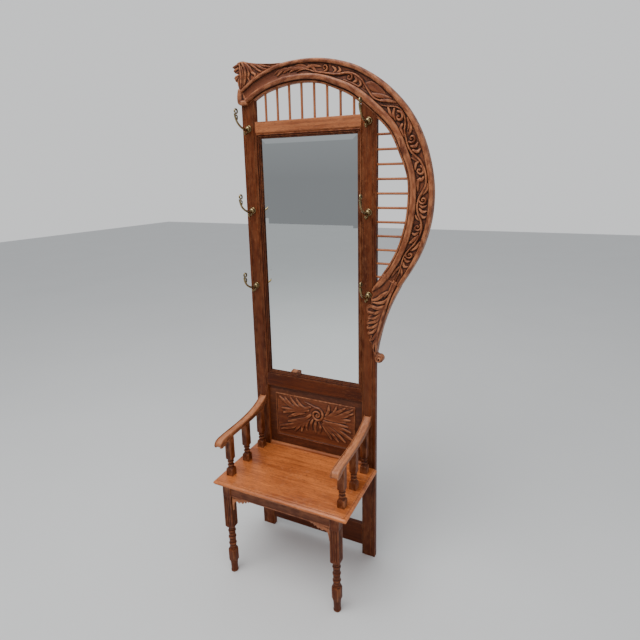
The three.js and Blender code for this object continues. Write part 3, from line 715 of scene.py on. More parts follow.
def cut_stroke(height, x, z, path, width, rise, valley=0.0, tip=0.0, root=1.0, per_span=8):
    """Adds one carved ridge to a height map, in millimetres.

    The ridge follows a smooth path. Its half width grows from the tip share at the path's
    end, and root is the share at its start. A valley leaves a gouge cut down its middle.
    """
    line = smooth(path, per_span)
    step = np.concatenate([[0], np.cumsum(np.hypot(*np.diff(line, axis=0).T))])
    count = max(int(step[-1] / max(width * 0.22, 0.6)), 4)
    at = np.linspace(0, step[-1], count)
    line = np.stack([np.interp(at, step, line[:, 0]), np.interp(at, step, line[:, 1])], axis=1)
    f = at / step[-1]
    swell = np.where(f < 0.45, root + (1 - root) * np.sin(f / 0.45 * math.pi / 2),
                     tip + (1 - tip) * np.cos((f - 0.45) / 0.55 * math.pi / 2) ** 0.8)
    half = width * np.maximum(swell, 0.12)
    top = rise * (0.35 + 0.65 * np.maximum(swell, 0.05))
    near = ((x > line[:, 0].min() - width) & (x < line[:, 0].max() + width)
            & (z > line[:, 1].min() - width) & (z < line[:, 1].max() + width))
    if not near.any():
        return
    px, pz = x[near][:, None], z[near][:, None]
    best = np.zeros(px.shape[0])
    for start in range(0, count, 24):
        part = slice(start, start + 24)
        q = np.hypot(px - line[None, part, 0], pz - line[None, part, 1]) / half[None, part]
        ridge = np.sqrt(np.clip(1 - q * q, 0, 1))
        if valley:
            ridge = ridge * (1 - valley * np.exp(-(q / 0.4) ** 2))
        best = np.maximum(best, (ridge * top[None, part]).max(axis=1))
    height[near] = np.maximum(height[near], best)


def spiral(centre, start_angle, turns, outer, inner, steps=14):
    """Points that wind in from the outer to the inner radius. Positive turns wind anticlockwise."""
    f = np.linspace(0, 1, steps)
    angle = math.radians(start_angle) + f * turns * 2 * math.pi
    radius = outer + (inner - outer) * f**0.8
    return np.stack([centre[0] + radius * np.cos(angle), centre[1] + radius * np.sin(angle)], 1)


def distance_inside(x, z, outline):
    """How far each point is from the nearest side of an outline, and whether it is inside."""
    outline = np.asarray(outline, float)
    best = np.full(x.shape, 1e9)
    inside = np.zeros(x.shape, bool)
    for a, b in zip(outline, np.roll(outline, -1, axis=0)):
        d = b - a
        t = np.clip(((x - a[0]) * d[0] + (z - a[1]) * d[1]) / (d @ d + 1e-12), 0, 1)
        best = np.minimum(best, np.hypot(x - a[0] - t * d[0], z - a[1] - t * d[1]))
        crosses = (a[1] > z) != (b[1] > z)
        with np.errstate(divide="ignore", invalid="ignore"):
            side = x < (b[0] - a[0]) * (z - a[1]) / (b[1] - a[1]) + a[0]
        inside ^= crosses & side
    return best, inside


def resample(outline, pitch):
    """A closed outline with points no further apart than the pitch."""
    out = []
    outline = np.asarray(outline, float)
    for a, b in zip(outline, np.roll(outline, -1, axis=0)):
        count = max(1, int(math.ceil(np.linalg.norm(b - a) / pitch)))
        for k in range(count):
            out.append(a + (b - a) * k / count)
    return np.array(out)


def carved_board(outline, surface, back, pitch, round_over=2.5):
    """A board cut to an outline in x and z. Its front is carved: surface(x, z) gives its y."""
    edge = resample(anticlockwise(outline), pitch)
    low, high = edge.min(0), edge.max(0)
    gx, gz = np.meshgrid(np.arange(low[0], high[0], pitch), np.arange(low[1], high[1], pitch * 0.87))
    gx = gx + (np.arange(gx.shape[0]) % 2)[:, None] * pitch / 2
    gx, gz = gx.ravel(), gz.ravel()
    far, inside = distance_inside(gx, gz, edge)
    keep = inside & (far > pitch * 0.6)
    flat = np.concatenate([edge, np.stack([gx[keep], gz[keep]], 1)])
    rim = len(edge)
    loop = [(i, (i + 1) % rim) for i in range(rim)]
    points, _, faces, _, _, _ = delaunay_2d_cdt([Vector(p) for p in flat], loop, [], 1, 1e-5)
    flat = np.array([tuple(p) for p in points])
    y = surface(flat[:, 0], flat[:, 1])
    far, _ = distance_inside(flat[:, 0], flat[:, 1], edge)
    fall = np.clip(1 - far / round_over, 0, 1)
    y = y + round_over * (1 - np.sqrt(1 - fall**2))
    front = np.stack([flat[:, 0], y, flat[:, 1]], 1)
    shape = Shape()
    count = len(front)
    walls = [np.stack([flat[:rim, 0], depth, flat[:rim, 1]], 1)
             for depth in (y[:rim] + 3, np.full(rim, back - 5.0), np.full(rim, back - 1.2))]
    lip = inset(edge, 1.2)
    walls.append(np.stack([lip[:, 0], np.full(rim, back), lip[:, 1]], 1))
    everything = np.concatenate([front] + walls)
    sides = []
    starts = [0] + [count + rim * k for k in range(len(walls))]
    for a, b in zip(starts, starts[1:]):
        for i in range(rim):
            j = (i + 1) % rim
            sides.append((a + i, a + j, b + j, b + i))
    sides.append(tuple(range(starts[-1], starts[-1] + rim)))
    return shape.add(everything, [tuple(f) for f in faces] + sides)


# ---- the harp's band --------------------------------------------------------------------

# Facing points on the band's outer and inner edges, from the lion round to the foot.
OUTER = [(-289, 2062), (-219, 2103), (-125, 2138), (-28, 2149), (70, 2145), (162, 2126),
         (248, 2092), (340, 2028), (426, 1934), (484, 1820), (516, 1685), (515, 1560),
         (487, 1445), (448, 1362), (400, 1284)]
INNER = [(-262, 2003), (-190, 2040), (-107, 2061), (-25, 2068), (57, 2060), (134, 2031),
         (200, 1998), (270, 1941), (342, 1871), (386, 1784), (418, 1688), (416, 1565),
         (395, 1469), (363, 1391), (322, 1326)]
LIP, INNER_RIM, OUTER_RIM = 0.13, 0.36, 0.83    # shares of the band's width where its parts meet
HOLLOW_MID = (INNER_RIM + OUTER_RIM) / 2
HOLLOW_HALF = (OUTER_RIM - INNER_RIM) / 2
HOLLOW_DEPTH = 11.5
CUTS = (0.0, 4.5, 8.5, 12.0, 14.0)              # where the band's boards are glued end to end


def band_table():
    """How far along the band each place lies, and how wide the band is there."""
    at = np.linspace(0, 14, 1401)
    outer, inner = spline_at(OUTER, at), spline_at(INNER, at)
    middle = (outer + inner) / 2
    far = np.concatenate([[0], np.cumsum(np.hypot(*np.diff(middle, axis=0).T))])
    return at, far, np.hypot(*(outer - inner).T)


BAND_AT, BAND_FAR, BAND_WIDTH = band_table()


# The vine's main stem: how far along the band, and where across the hollow, from -1 at the
# inner rim to 1 at the outer rim.
STEM = [(262, -0.55), (300, -0.2), (345, -0.72), (400, -0.62), (440, -0.35), (472, 0.2), (502, 0.42),
        (535, 0.25), (565, -0.25), (590, -0.6), (614, -0.76), (642, -0.45), (668, 0.2)]
STEM_ON = [(652, -0.85), (675, -0.35), (695, 0.3), (715, 0.68), (740, 0.66), (765, 0.2), (785, -0.4),
           (815, -0.68), (850, -0.76), (880, -0.35), (903, 0.25), (930, 0.62), (960, 0.7),
           (990, 0.5), (1012, 0.0), (1034, -0.5), (1066, -0.74), (1095, -0.45), (1120, 0.15),
           (1145, 0.52), (1172, 0.5), (1203, 0.15), (1235, -0.4), (1265, -0.68), (1300, -0.4),
           (1340, 0.1), (1379, 0.3)]

# Scrolls that fill the bays of the vine: place along, place across, start of the curl in
# degrees, and how many turns it makes. A positive turn winds from the stem anticlockwise.
SCROLLS = [(383, 0.18, -90, 1.25, 0.85), (489, -0.25, 130, -1.3, 1.0), (733, -0.1, 150, -1.2, 1.25),
           (823, 0.12, -70, 1.35, 1.0), (938, -0.15, 150, -1.2, 1.2), (1043, 0.12, -80, 1.35, 1.0),
           (1144, -0.2, 140, -1.35, 1.0), (1253, 0.1, -80, 1.3, 0.95)]

# Leaf blades of the vine: where each starts, passes and ends, then its half width in
# millimetres and how high it stands.
BLADES = [
    ((300, -0.1), (262, 0.1), (232, -0.35), 5.5, 0.8), ((262, 0.15), (232, 0.3), (203, -0.25), 5.5, 0.8),
    ((232, 0.3), (202, 0.35), (172, -0.45), 5.5, 0.75), ((205, 0.35), (185, 0.45), (160, 0.1), 4.0, 0.55),
    ((300, 0.0), (330, 0.35), (365, 0.3), 5.0, 0.8), ((345, -0.6), (330, 0.1), (312, 0.55), 5.0, 0.7),
    ((300, 0.3), (280, 0.6), (250, 0.55), 5.0, 0.6), ((420, -0.4), (428, 0.2), (410, 0.6), 4.5, 0.75),
    ((432, -0.3), (446, 0.25), (436, 0.75), 4.5, 0.7), ((505, 0.3), (520, -0.2), (508, -0.75), 5.0, 0.8),
    ((520, 0.3), (542, -0.3), (536, -0.85), 5.0, 0.8), ((470, -0.9), (500, -0.88), (540, -0.8), 3.5, 0.6),
    ((560, -0.2), (590, 0.35), (640, 0.5), 13.0, 0.52), ((600, -0.6), (630, 0.0), (668, 0.75), 7.0, 0.62),
    ((642, -0.35), (668, 0.35), (690, 0.85), 5.0, 0.85), ((560, 0.0), (575, 0.5), (612, 0.85), 6.0, 0.6),
    ((680, -0.4), (700, -0.75), (722, -0.85), 4.5, 0.75), ((700, 0.1), (712, -0.5), (735, -0.8), 4.5, 0.8),
    ((762, -0.3), (772, -0.8), (805, -0.85), 5.0, 0.85), ((775, 0.9), (793, 0.5), (808, -0.2), 5.0, 0.85),
    ((755, 0.85), (775, 0.6), (790, 0.0), 4.0, 0.65), ((846, -0.4), (852, 0.2), (843, 0.75), 5.0, 0.85),
    ((862, -0.3), (872, 0.2), (866, 0.8), 5.0, 0.85), ((880, -0.6), (900, -0.2), (885, -0.95), 4.5, 0.7),
    ((905, 0.0), (912, -0.5), (934, -0.85), 4.5, 0.8), ((966, -0.3), (980, -0.75), (1012, -0.8), 5.5, 0.85),
    ((960, 0.3), (972, -0.2), (968, -0.85), 4.5, 0.8), ((985, 0.9), (1005, 0.6), (1024, -0.1), 5.0, 0.85),
    ((1060, -0.4), (1068, 0.1), (1062, 0.7), 4.5, 0.8), ((1075, -0.35), (1086, 0.2), (1082, 0.85), 4.8, 0.85),
    ((1095, -0.2), (1106, 0.4), (1102, 0.9), 4.5, 0.7), ((1100, -0.9), (1112, -0.5), (1118, 0.0), 4.0, 0.7),
    ((1160, 0.2), (1172, -0.3), (1168, -0.85), 4.8, 0.85), ((1175, 0.25), (1195, -0.3), (1212, -0.75), 5.5,
                                                            0.85),
    ((1195, 0.9), (1218, 0.6), (1236, -0.1), 5.0, 0.85), ((1272, -0.4), (1280, 0.2), (1272, 0.8), 4.6, 0.85),
    ((1290, -0.3), (1302, 0.25), (1298, 0.85), 4.8, 0.8), ((1310, -0.3), (1330, 0.5), (1345, 0.9), 4.0, 0.6),
    ((1310, -0.45), (1335, -0.75), (1365, -0.7), 4.5, 0.65),
]


def vine_height(along, across):
    """Height of the vine above the hollow's floor, for arrays of places on the band."""
    half = np.interp(along, BAND_FAR, BAND_WIDTH) * HOLLOW_HALF
    y = across * half
    height = np.zeros_like(along)
    relief = in_mm(sizes().vine_relief)

    def place(points):
        return [(s, v * float(np.interp(s, BAND_FAR, BAND_WIDTH)) * HOLLOW_HALF) for s, v in points]

    for start, middle, end, width, rise in BLADES:
        cut_stroke(height, along, y, place([start, middle, end]), width * 1.25, rise * relief,
                   valley=0.3, tip=0.3, root=0.75)
    for s, v, angle, turns, size in SCROLLS:
        centre = place([(s, v)])[0]
        curl = spiral(centre, angle, turns * 0.8, 15.0 * size, 4.2, steps=16)
        cut_stroke(height, along, y, curl, 4.4 * size, relief * 0.95, tip=0.7, root=1.0, per_span=3)
        cut_stroke(height, along, y, [(centre[0] - 0.4, centre[1]), (centre[0] + 0.4, centre[1])],
                   2.6, relief * 0.8, tip=1.0)
    for stem in (STEM, STEM_ON):
        cut_stroke(height, along, y, place(stem), 5.0, relief, tip=0.5, root=0.4, per_span=10)
    return height


def band_front(at, share_across):
    """The y of the band's front, for grids of station and share across."""
    along = np.interp(at, BAND_AT, BAND_FAR)
    width = np.interp(at, BAND_AT, BAND_WIDTH)

    def hump(low, high, crown, sides):
        t = np.clip((share_across - low) / (high - low), 0, 1) * 2 - 1
        return crown + sides * np.abs(t) ** 2.6

    inner_rim = hump(LIP, INNER_RIM, HARP_FRONT, 4.0)
    outer_rim = hump(OUTER_RIM, 1.0, HARP_FRONT, 4.0)
    v = (share_across - HOLLOW_MID) / HOLLOW_HALF
    floor = HARP_FRONT + HOLLOW_DEPTH + 1.5 * (1 - v**2)
    vine = vine_height(along, np.clip(v, -1, 1))
    hollow = floor - vine * np.clip((1 - np.abs(v)) / 0.06, 0, 1)
    in_lip = share_across < LIP
    bead = 1.8 * np.sqrt(np.clip(1 - ((share_across - 0.06) * width / 2.4) ** 2, 0, 1))
    y = np.where(share_across > OUTER_RIM, outer_rim, np.where(share_across > INNER_RIM, hollow, inner_rim))
    return np.where(in_lip, 1.0 - bead, y)


def band_shares():
    """Places across the band, close together where its shape changes."""
    return np.concatenate([
        np.linspace(0.0, LIP - 0.004, 12), np.linspace(LIP, INNER_RIM - 0.004, 16),
        np.linspace(INNER_RIM + 0.002, OUTER_RIM - 0.002, 52), np.linspace(OUTER_RIM + 0.004, 0.996, 13)])


def band_shape(start, end):
    """One glued board of the band, closed on all its sides."""
    far0, far1 = np.interp([start, end], BAND_AT, BAND_FAR)
    rows = int((far1 - far0) / 1.5) + 2
    at = np.interp(np.linspace(far0, far1, rows), BAND_FAR, BAND_AT)
    shares = band_shares()
    grid_at, grid_share = np.meshgrid(at, shares, indexing="ij")
    outer, inner = spline_at(OUTER, grid_at), spline_at(INNER, grid_at)
    place = inner + grid_share[..., None] * (outer - inner)
    y = band_front(grid_at, grid_share)
    front = np.stack([place[..., 0], y, place[..., 1]], axis=-1)
    rings = []
    for row in front:
        outer_edge, inner_edge = row[-1] * [1, 0, 1], row[0] * [1, 0, 1]
        across = (outer_edge - inner_edge) / np.linalg.norm(outer_edge - inner_edge)
        side = [(0, HARP_FRONT + 8), (0, HARP_BACK - 6), (0, HARP_BACK - 2), (2, HARP_BACK), (7, HARP_BACK)]
        back = [outer_edge - across * cut + [0, y, 0] for cut, y in side]
        back += [inner_edge + across * cut + [0, y, 0] for cut, y in side[:0:-1]]
        back.append(inner_edge + [0, 5, 0])
        rings.append(np.concatenate([row, back]))
    return Shape().loft(rings)


# ---- stage -----------------------------------------------------------------------------

CAMERA = {"place": (0.8201, -1.5895, 1.7032), "yaw": 0.436, "pitch": 0.225, "roll": -0.017,
          "lens": 26.76, "shift": (-0.0168, -0.0521)}


class HALLTREE_OT_stage(bpy.types.Operator):
    """Makes the floor, the soft lights and the camera"""

    bl_idname = "halltree.stage"
    bl_label = "Floor, lights and camera"

    def execute(self, context):
        look = context.scene.hall_tree_stage
        self.floor(context, look)
        self.lights(context, look)
        self.camera(context)
        return {"FINISHED"}

    def floor(self, context, look):
        mesh = bpy.data.meshes.new("floor")
        reach, drop = 14.0, -0.0005
        corners = [(-reach, -reach, drop), (reach, -reach, drop), (reach, reach, drop), (-reach, reach, drop)]
        mesh.from_pydata(corners, [], [(0, 1, 2, 3)])
        mesh.materials.append(plain_floor("Pale floor", look.floor_colour))
        floor = bpy.data.objects.new("floor", mesh)
        context.scene.collection.objects.link(floor)

    def lights(self, context, look):
        world = bpy.data.worlds.new("Soft studio")
        world.use_nodes = True
        sky = world.node_tree.nodes["Background"]
        graph = Graph(world.node_tree)
        seen = graph.node("ShaderNodeLightPath").outputs["Is Camera Ray"]
        pale, soft = (0.86, 0.87, 0.88, 1.0), (0.93, 0.96, 1.0, 1.0)
        graph.join(graph.blend(seen, soft, pale), sky.inputs["Color"])
        up = graph.node("ShaderNodeSeparateXYZ")
        graph.join(graph.node("ShaderNodeTexCoord").outputs["Generated"], up.inputs[0])
        overhead = graph.math("ADD", 0.45, graph.math("MULTIPLY",
                                                      graph.math("MAXIMUM", up.outputs["Z"], 0.0), 1.1))
        even = graph.math("MULTIPLY", overhead, look.sky_strength)
        hidden = graph.math("MULTIPLY", even, graph.math("SUBTRACT", 1.0, seen))
        graph.join(graph.math("ADD", hidden, seen), sky.inputs["Strength"])
        context.scene.world = world
        for name, place, size, power in (
                ("key light", (-0.6, -1.6, 4.6), 2.8, look.key_power),
                ("fill light", (2.6, -2.4, 2.2), 2.0, look.key_power * 0.12)):
            lamp = bpy.data.lights.new(name, "AREA")
            lamp.energy = power
            lamp.size = size
            holder = bpy.data.objects.new(name, lamp)
            holder.location = place
            aim = Vector((0, 0, 1.2)) - Vector(place)
            holder.rotation_euler = aim.to_track_quat("-Z", "Y").to_euler()
            context.scene.collection.objects.link(holder)

    def camera(self, context):
        yaw, pitch, roll = (CAMERA[k] for k in ("yaw", "pitch", "roll"))
        ahead = Vector((-math.sin(yaw) * math.cos(pitch), math.cos(yaw) * math.cos(pitch), -math.sin(pitch)))
        right = ahead.cross(Vector((0, 0, 1))).normalized()
        up = right.cross(ahead)
        c, s = math.cos(roll), math.sin(roll)
        turned_right, turned_up = c * right + s * up, c * up - s * right
        lens = bpy.data.cameras.new("camera")
        lens.sensor_width = 36.0
        lens.lens = CAMERA["lens"]
        lens.shift_x, lens.shift_y = CAMERA["shift"]
        holder = bpy.data.objects.new("camera", lens)
        turn = Matrix((turned_right, turned_up, -ahead)).transposed()
        holder.matrix_world = Matrix.Translation(CAMERA["place"]) @ turn.to_4x4()
        context.scene.collection.objects.link(holder)
        context.scene.camera = holder


# ---- the pieces ------------------------------------------------------------------------

class HALLTREE_OT_finishes(bpy.types.Operator):
    """Builds the shader groups and the materials"""

    bl_idname = "halltree.finishes"
    bl_label = "Finishes"

    def execute(self, context):
        build_grain_group()
        build_wear_group()
        build_oak_group()
        build_brass_group()
        build_finishes()
        return {"FINISHED"}


def stile_outline(width, thick, radius, quirk):
    """A stile's section: a groove near its outer edge and a quirked bead on its inner edge."""
    outer_groove, bead = 14.0, 8.0
    inner = width - bead
    arc = [(inner + 1.2 + (bead - 2.4) * (0.5 - 0.5 * math.cos(a)), quirk * (1 - math.sin(a)))
           for a in np.linspace(0.15, math.pi - 0.5, 7)]
    front = [(radius, 0), (radius + 1.5, 0), (outer_groove - 3, 0), (outer_groove - 1.4, 0.3),
             (outer_groove - 0.8, quirk), (outer_groove + 0.8, quirk), (outer_groove + 1.4, 0.3),
             (outer_groove + 3, 0), (inner - 2, 0), (inner - 0.3, 0.3), (inner + 0.3, quirk),
             (inner + 1.2, quirk)] + arc[1:] + [(width, 3.5)]
    edge = [(0, 4), (0, radius), (radius * 0.3, radius * 0.3)]
    back = [(width, thick - 4), (width, thick - 0.8), (width - 0.8, thick), (width - 3, thick),
            (3, thick), (0.8, thick), (0, thick - 0.8), (0, thick - 4)]
    return np.array(edge + front + back)


class HALLTREE_OT_stiles(bpy.types.Operator):
    """Makes the two stiles, grooved near the outer edge and beaded on the inner edge"""

    bl_idname = "halltree.stiles"
    bl_label = "Stiles"

    def execute(self, context):
        for name, side in (("left_stile", -1), ("right_stile", 1)):
            low, high = span(name)
            width, thick = high[0] - low[0], high[1] - low[1]
            section = stile_outline(width, thick, in_mm(sizes().edge_radius), in_mm(sizes().bead_depth))
            section[:, 0] = low[0] + section[:, 0] if side < 0 else high[0] - section[:, 0]
            shape = Shape().loft(along_axis(section, "z", low[2], high[2]))
            make_piece(f"{name}_moulded", shape, FINISHES["frame"], [name], sharp=50)
        return {"FINISHED"}


class HALLTREE_OT_rails(bpy.types.Operator):
    """Makes the four rails that join the stiles"""

    bl_idname = "halltree.rails"
    bl_label = "Rails"

    def execute(self, context):
        inner = span("left_stile")[1][0] + FIT
        radius = in_mm(sizes().edge_radius)
        for name in ("top_rail", "mirror_rail", "seat_rail", "lower_rail"):
            low, high = span(name)
            front, back = low[1], high[1]
            z0, z1 = low[2], high[2]
            if name == "top_rail":
                section = [(front + 4.5, z0), (front + 0.8, z0 + 5.5), (front, z0 + 6.5), (front, z1),
                           (back, z1), (back, z0)]
            else:
                section = [(front, z0), (front, z1), (back, z1), (back, z0)]
            outline = rounded(section, radius)
            shape = Shape().loft(along_axis(outline, "x", inner, -inner))
            kind = "rail" if name == "top_rail" else "frame"
            make_piece(f"{name}_dressed", shape, FINISHES[kind], [name], grain="x")
        return {"FINISHED"}


def mitred(half, low, high, profile):
    """Four mitred strips round an opening. The profile gives inset from the outer edge and y."""
    corners = [(-1, low, 1), (1, low, 1), (1, high, -1), (-1, high, -1)]
    rings = [[(side * (half - cut), y, z + inward * cut) for cut, y in profile]
             for side, z, inward in corners]
    return Shape().loft(rings, closed=True)


def arc_points(centre, radius, start, end, steps):
    angle = np.radians(np.linspace(start, end, steps))
    return [(centre[0] + radius * math.cos(a), centre[1] + radius * math.sin(a)) for a in angle]


class HALLTREE_OT_mirror(bpy.types.Operator):
    """Makes the mirror's moulding and gives the bevelled glass its silvering"""

    bl_idname = "halltree.mirror"
    bl_label = "Mirror"

    def execute(self, context):
        low, high = span("mirror_moulding")
        half = high[0]
        depth = high[1]
        profile = ([(0, depth), (0, 1.5)] + arc_points((3, 1.5), 3.0, 180, 360, 9)[1:]
                   + [(6.6, 3.4), (7.4, 3.8)] + arc_points((9.8, 4.6), 2.4, 200, 350, 7)
                   + [(12.9, 6.0), (14.0, 6.2)] + arc_points((15.5, 7.8), 1.5, 220, 360, 5)
                   + [(17, depth)])
        shape = mitred(half, low[2], high[2], profile)
        make_piece("mirror_moulding_run", shape, FINISHES["frame"], ["mirror_moulding"],
                   sharp=44)
        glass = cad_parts["mirror_glass"]
        glass.data.materials.clear()
        glass.data.materials.append(FINISHES["mirror"])
        self.backboards()
        return {"FINISHED"}

    def backboards(self):
        """Three upright pine boards with a shallow joint between each two."""
        low, high = span("mirror_backboard")
        count, gap = 3, 0.5
        width = (high[0] - low[0]) / count
        shape = Shape()
        for i in range(count):
            x0, x1 = low[0] + i * width + gap / 2, low[0] + (i + 1) * width - gap / 2
            section = rounded([(x0, low[1]), (x1, low[1]), (x1, high[1]), (x0, high[1])], 0.8)
            shape.loft(along_axis(section, "z", low[2], high[2]))
        make_piece("mirror_back_boards", shape, FINISHES["pine"], ["mirror_backboard"])


class HALLTREE_OT_panel(bpy.types.Operator):
    """Makes the framed panel above the seat with its carved sprays of leaves"""

    bl_idname = "halltree.panel"
    bl_label = "Back panel"

    def execute(self, context):
        self.field()
        self.bead()
        self.carving()
        return {"FINISHED"}

    def field(self):
        low, high = span("back_panel")
        outline = [(low[0], low[2]), (high[0], low[2]), (high[0], high[2]), (low[0], high[2])]
        shape = Shape().loft(plate_rings(outline, "y", low[1], high[1], 0.8))
        # The field takes the lighter carved oak instead of the frame's dark oak, so its colour is painted
        # lighter to lift the shade it lies in below the mirror rail.
        make_piece("back_panel_board", shape, FINISHES["carved"], ["back_panel"], grain="x")

    def bead(self):
        low, high = span("panel_bead")
        front, back = low[1], high[1]
        profile = ([(0, back), (0, front + 3)] + arc_points((3.2, front + 3), 3.0, 180, 360, 9)[1:]
                   + [(6.6, front + 3.6), (7, back)])
        shape = mitred(high[0], low[2], high[2], profile)
        make_piece("panel_bead_run", shape, FINISHES["carved"], ["panel_bead"], sharp=44)

    # Blades: path from the stem to the tip, then half width.
    BLADES = [
        ([(-20, 682), (-70, 664), (-125, 672), (-180, 706)], 6.5),
        ([(-60, 664), (-112, 668), (-152, 707)], 5.5), ([(-50, 668), (-92, 676), (-122, 711)], 5.5),
        ([(-45, 672), (-72, 684), (-92, 712)], 5.0), ([(-30, 664), (-90, 652), (-170, 650)], 6.0),
        ([(-60, 655), (-110, 648), (-163, 629)], 6.0), ([(-55, 650), (-92, 634), (-136, 611)], 6.0),
        ([(-50, 645), (-75, 640), (-100, 640)], 4.0),
        ([(-18, 645), (-60, 608), (-120, 575), (-182, 556)], 6.5),
        ([(-62, 600), (-110, 566), (-176, 541)], 5.5),
        ([(-45, 622), (-90, 604), (-138, 588)], 5.5), ([(-48, 610), (-82, 574), (-104, 545)], 5.5),
        ([(-38, 612), (-60, 582), (-68, 550)], 5.5), ([(-28, 615), (-42, 590), (-40, 562)], 5.0),
        ([(45, 628), (95, 610), (145, 582), (188, 562)], 6.5), ([(60, 618), (115, 612), (178, 598)], 6.0),
        ([(60, 624), (110, 624), (165, 622)], 5.5), ([(50, 618), (100, 586), (152, 545)], 6.0),
        ([(45, 612), (84, 576), (118, 540)], 5.5), ([(40, 608), (66, 574), (84, 545)], 5.0),
        ([(48, 640), (75, 655), (100, 680), (112, 711)], 5.5), ([(62, 652), (105, 676), (152, 709)], 6.0),
        ([(70, 652), (125, 668), (190, 710)], 6.0), ([(72, 650), (130, 662), (190, 690)], 5.5),
        ([(60, 646), (115, 650), (176, 656)], 6.0), ([(55, 640), (105, 640), (155, 640)], 5.0),
        ([(58, 655), (72, 680), (74, 708)], 5.0), ([(8, 616), (2, 590), (6, 560)], 5.5),
        ([(-8, 622), (-18, 598), (-14, 570)], 4.5), ([(22, 616), (30, 590), (26, 566)], 4.5),
    ]
    EYE = (14, 650)

    def carving(self):
        low, high = span("carved_panel")
        relief = in_mm(sizes().panel_relief)
        floor = high[1] - 1.0
        pitch = 1.3
        xs = np.linspace(low[0], high[0], int((high[0] - low[0]) / pitch))
        zs = np.linspace(low[2], high[2], int((high[2] - low[2]) / pitch))
        x, z = np.meshgrid(xs, zs, indexing="ij")
        height = np.zeros_like(x)
        for path, width in self.BLADES:
            cut_stroke(height, x, z, path, width * 1.5, relief * 0.9, valley=0.4, tip=0.45, root=0.6)
        curl = spiral(self.EYE, 105, -1.65, 37, 6, steps=22)
        lead = [(-48, 702), (-28, 697)]
        cut_stroke(height, x, z, lead + [tuple(p) for p in curl], 6.2, relief, tip=0.55, root=0.3, per_span=3)
        inner = spiral(self.EYE, -75, -1.2, 25, 8, steps=16)
        cut_stroke(height, x, z, inner, 4.5, relief * 0.85, tip=0.7, root=0.6, per_span=3)
        cut_stroke(height, x, z, [(self.EYE[0] - 1, self.EYE[1]), (self.EYE[0] + 1, self.EYE[1])], 5,
                   relief * 0.9, tip=1.0)
        rim = np.minimum(np.minimum(x - low[0], high[0] - x), np.minimum(z - low[2], high[2] - z))
        y = floor - height * np.clip(rim / 3, 0, 1)
        front = np.stack([x, y, z], axis=-1)
        self.slab(front, high[1])

    def slab(self, front, back):
        rows, columns = front.shape[:2]
        shape = Shape()
        number = np.arange(rows * columns).reshape(rows, columns)
        a, b = number[:-1, :-1].ravel(), number[1:, :-1].ravel()
        c, d = number[1:, 1:].ravel(), number[:-1, 1:].ravel()
        faces = list(zip(a, b, c, d))
        border = np.concatenate([number[:, 0], number[-1, 1:], number[-2::-1, -1], number[0, -2:0:-1]])
        points = front.reshape(-1, 3)
        ring = points[border] * [1, 0, 1] + [0, back, 0]
        start = len(points)
        for i in range(len(border)):
            j = (i + 1) % len(border)
            faces.append((border[i], start + i, start + j, border[j]))
        faces.append(tuple(range(start, start + len(border))))
        shape.add(np.concatenate([points, ring]), faces)
        make_piece("carved_panel_leaves", shape, FINISHES["carved"], ["carved_panel"],
                   grain="x", carved=True, sharp=70)


class HALLTREE_OT_seat(bpy.types.Operator):
    """Makes the seat board with its moulded edge, and the strip behind it"""

    bl_idname = "halltree.seat"
    bl_label = "Seat"

    def execute(self, context):
        low, high = span("seat_board")
        front, top, thick = low[1], high[2], high[2] - low[2]
        half = high[0]
        # The edge from the top down: a fine quirk, a broad nosing, a step, a small bead and a step.
        nosing = [(11.4 - 11.0 * math.sin(a), 1.6 + 8.4 * (1 - math.cos(a))) for a in np.linspace(0.12, 1.5,
                                                                                                  8)]
        bead = [(5.4 + 2.4 * math.cos(a), 15.4 - 2.2 * math.sin(a)) for a in np.linspace(2.2, 4.6, 6)]
        edge = ([(16.0, 0.0), (13.4, 0.0), (12.6, 0.5), (12.2, 1.9)] + nosing
                + [(0.2, 11.2), (1.2, 11.9), (3.4, 12.2)] + bead + [(7.4, 17.8), (8.2, 18.2), (8.6, thick)])
        rings = []
        for cut, drop in edge:
            rings.append(self.ring(half - cut, front + cut, top - drop))
        shape = Shape().loft(rings)
        reach = span("left_stile")[1][0] + FIT
        tongue = [(reach, -2.0), (-reach, -2.0), (-reach, high[1]), (reach, high[1])]
        shape.loft(along_axis(rounded(tongue, 0.6), "z", top - thick, top - 0.02))
        make_piece("seat_board_moulded", shape, FINISHES["seat"], ["seat_board"], grain="x",
                   sharp=36)
        self.strip()
        return {"FINISHED"}

    def ring(self, half, front, z):
        radius = 3.0
        back = np.array([[half, -FIT], [-half, -FIT]])
        arcs = []
        for cx, cy, start in ((-half + radius, front + radius, 180), (half - radius, front + radius, 270)):
            arcs.append(np.array(arc_points((cx, cy), radius, start, start + 90, 5)))
        outline = np.concatenate([back, arcs[0], arcs[1]])
        return np.column_stack([outline, np.full(len(outline), z)])

    def strip(self):
        low, high = span("seat_back_strip")
        section = [(high[1], low[2]), (low[1], low[2]), (low[1] + 0.5, high[2] - 5),
                   (low[1] + 4, high[2] - 0.5),
                   (high[1], high[2])]
        shape = Shape().loft(along_axis(rounded(section, 1.2), "x", low[0], high[0]))
        make_piece("seat_back_strip_run", shape, FINISHES["rail"], ["seat_back_strip"],
                   grain="x")


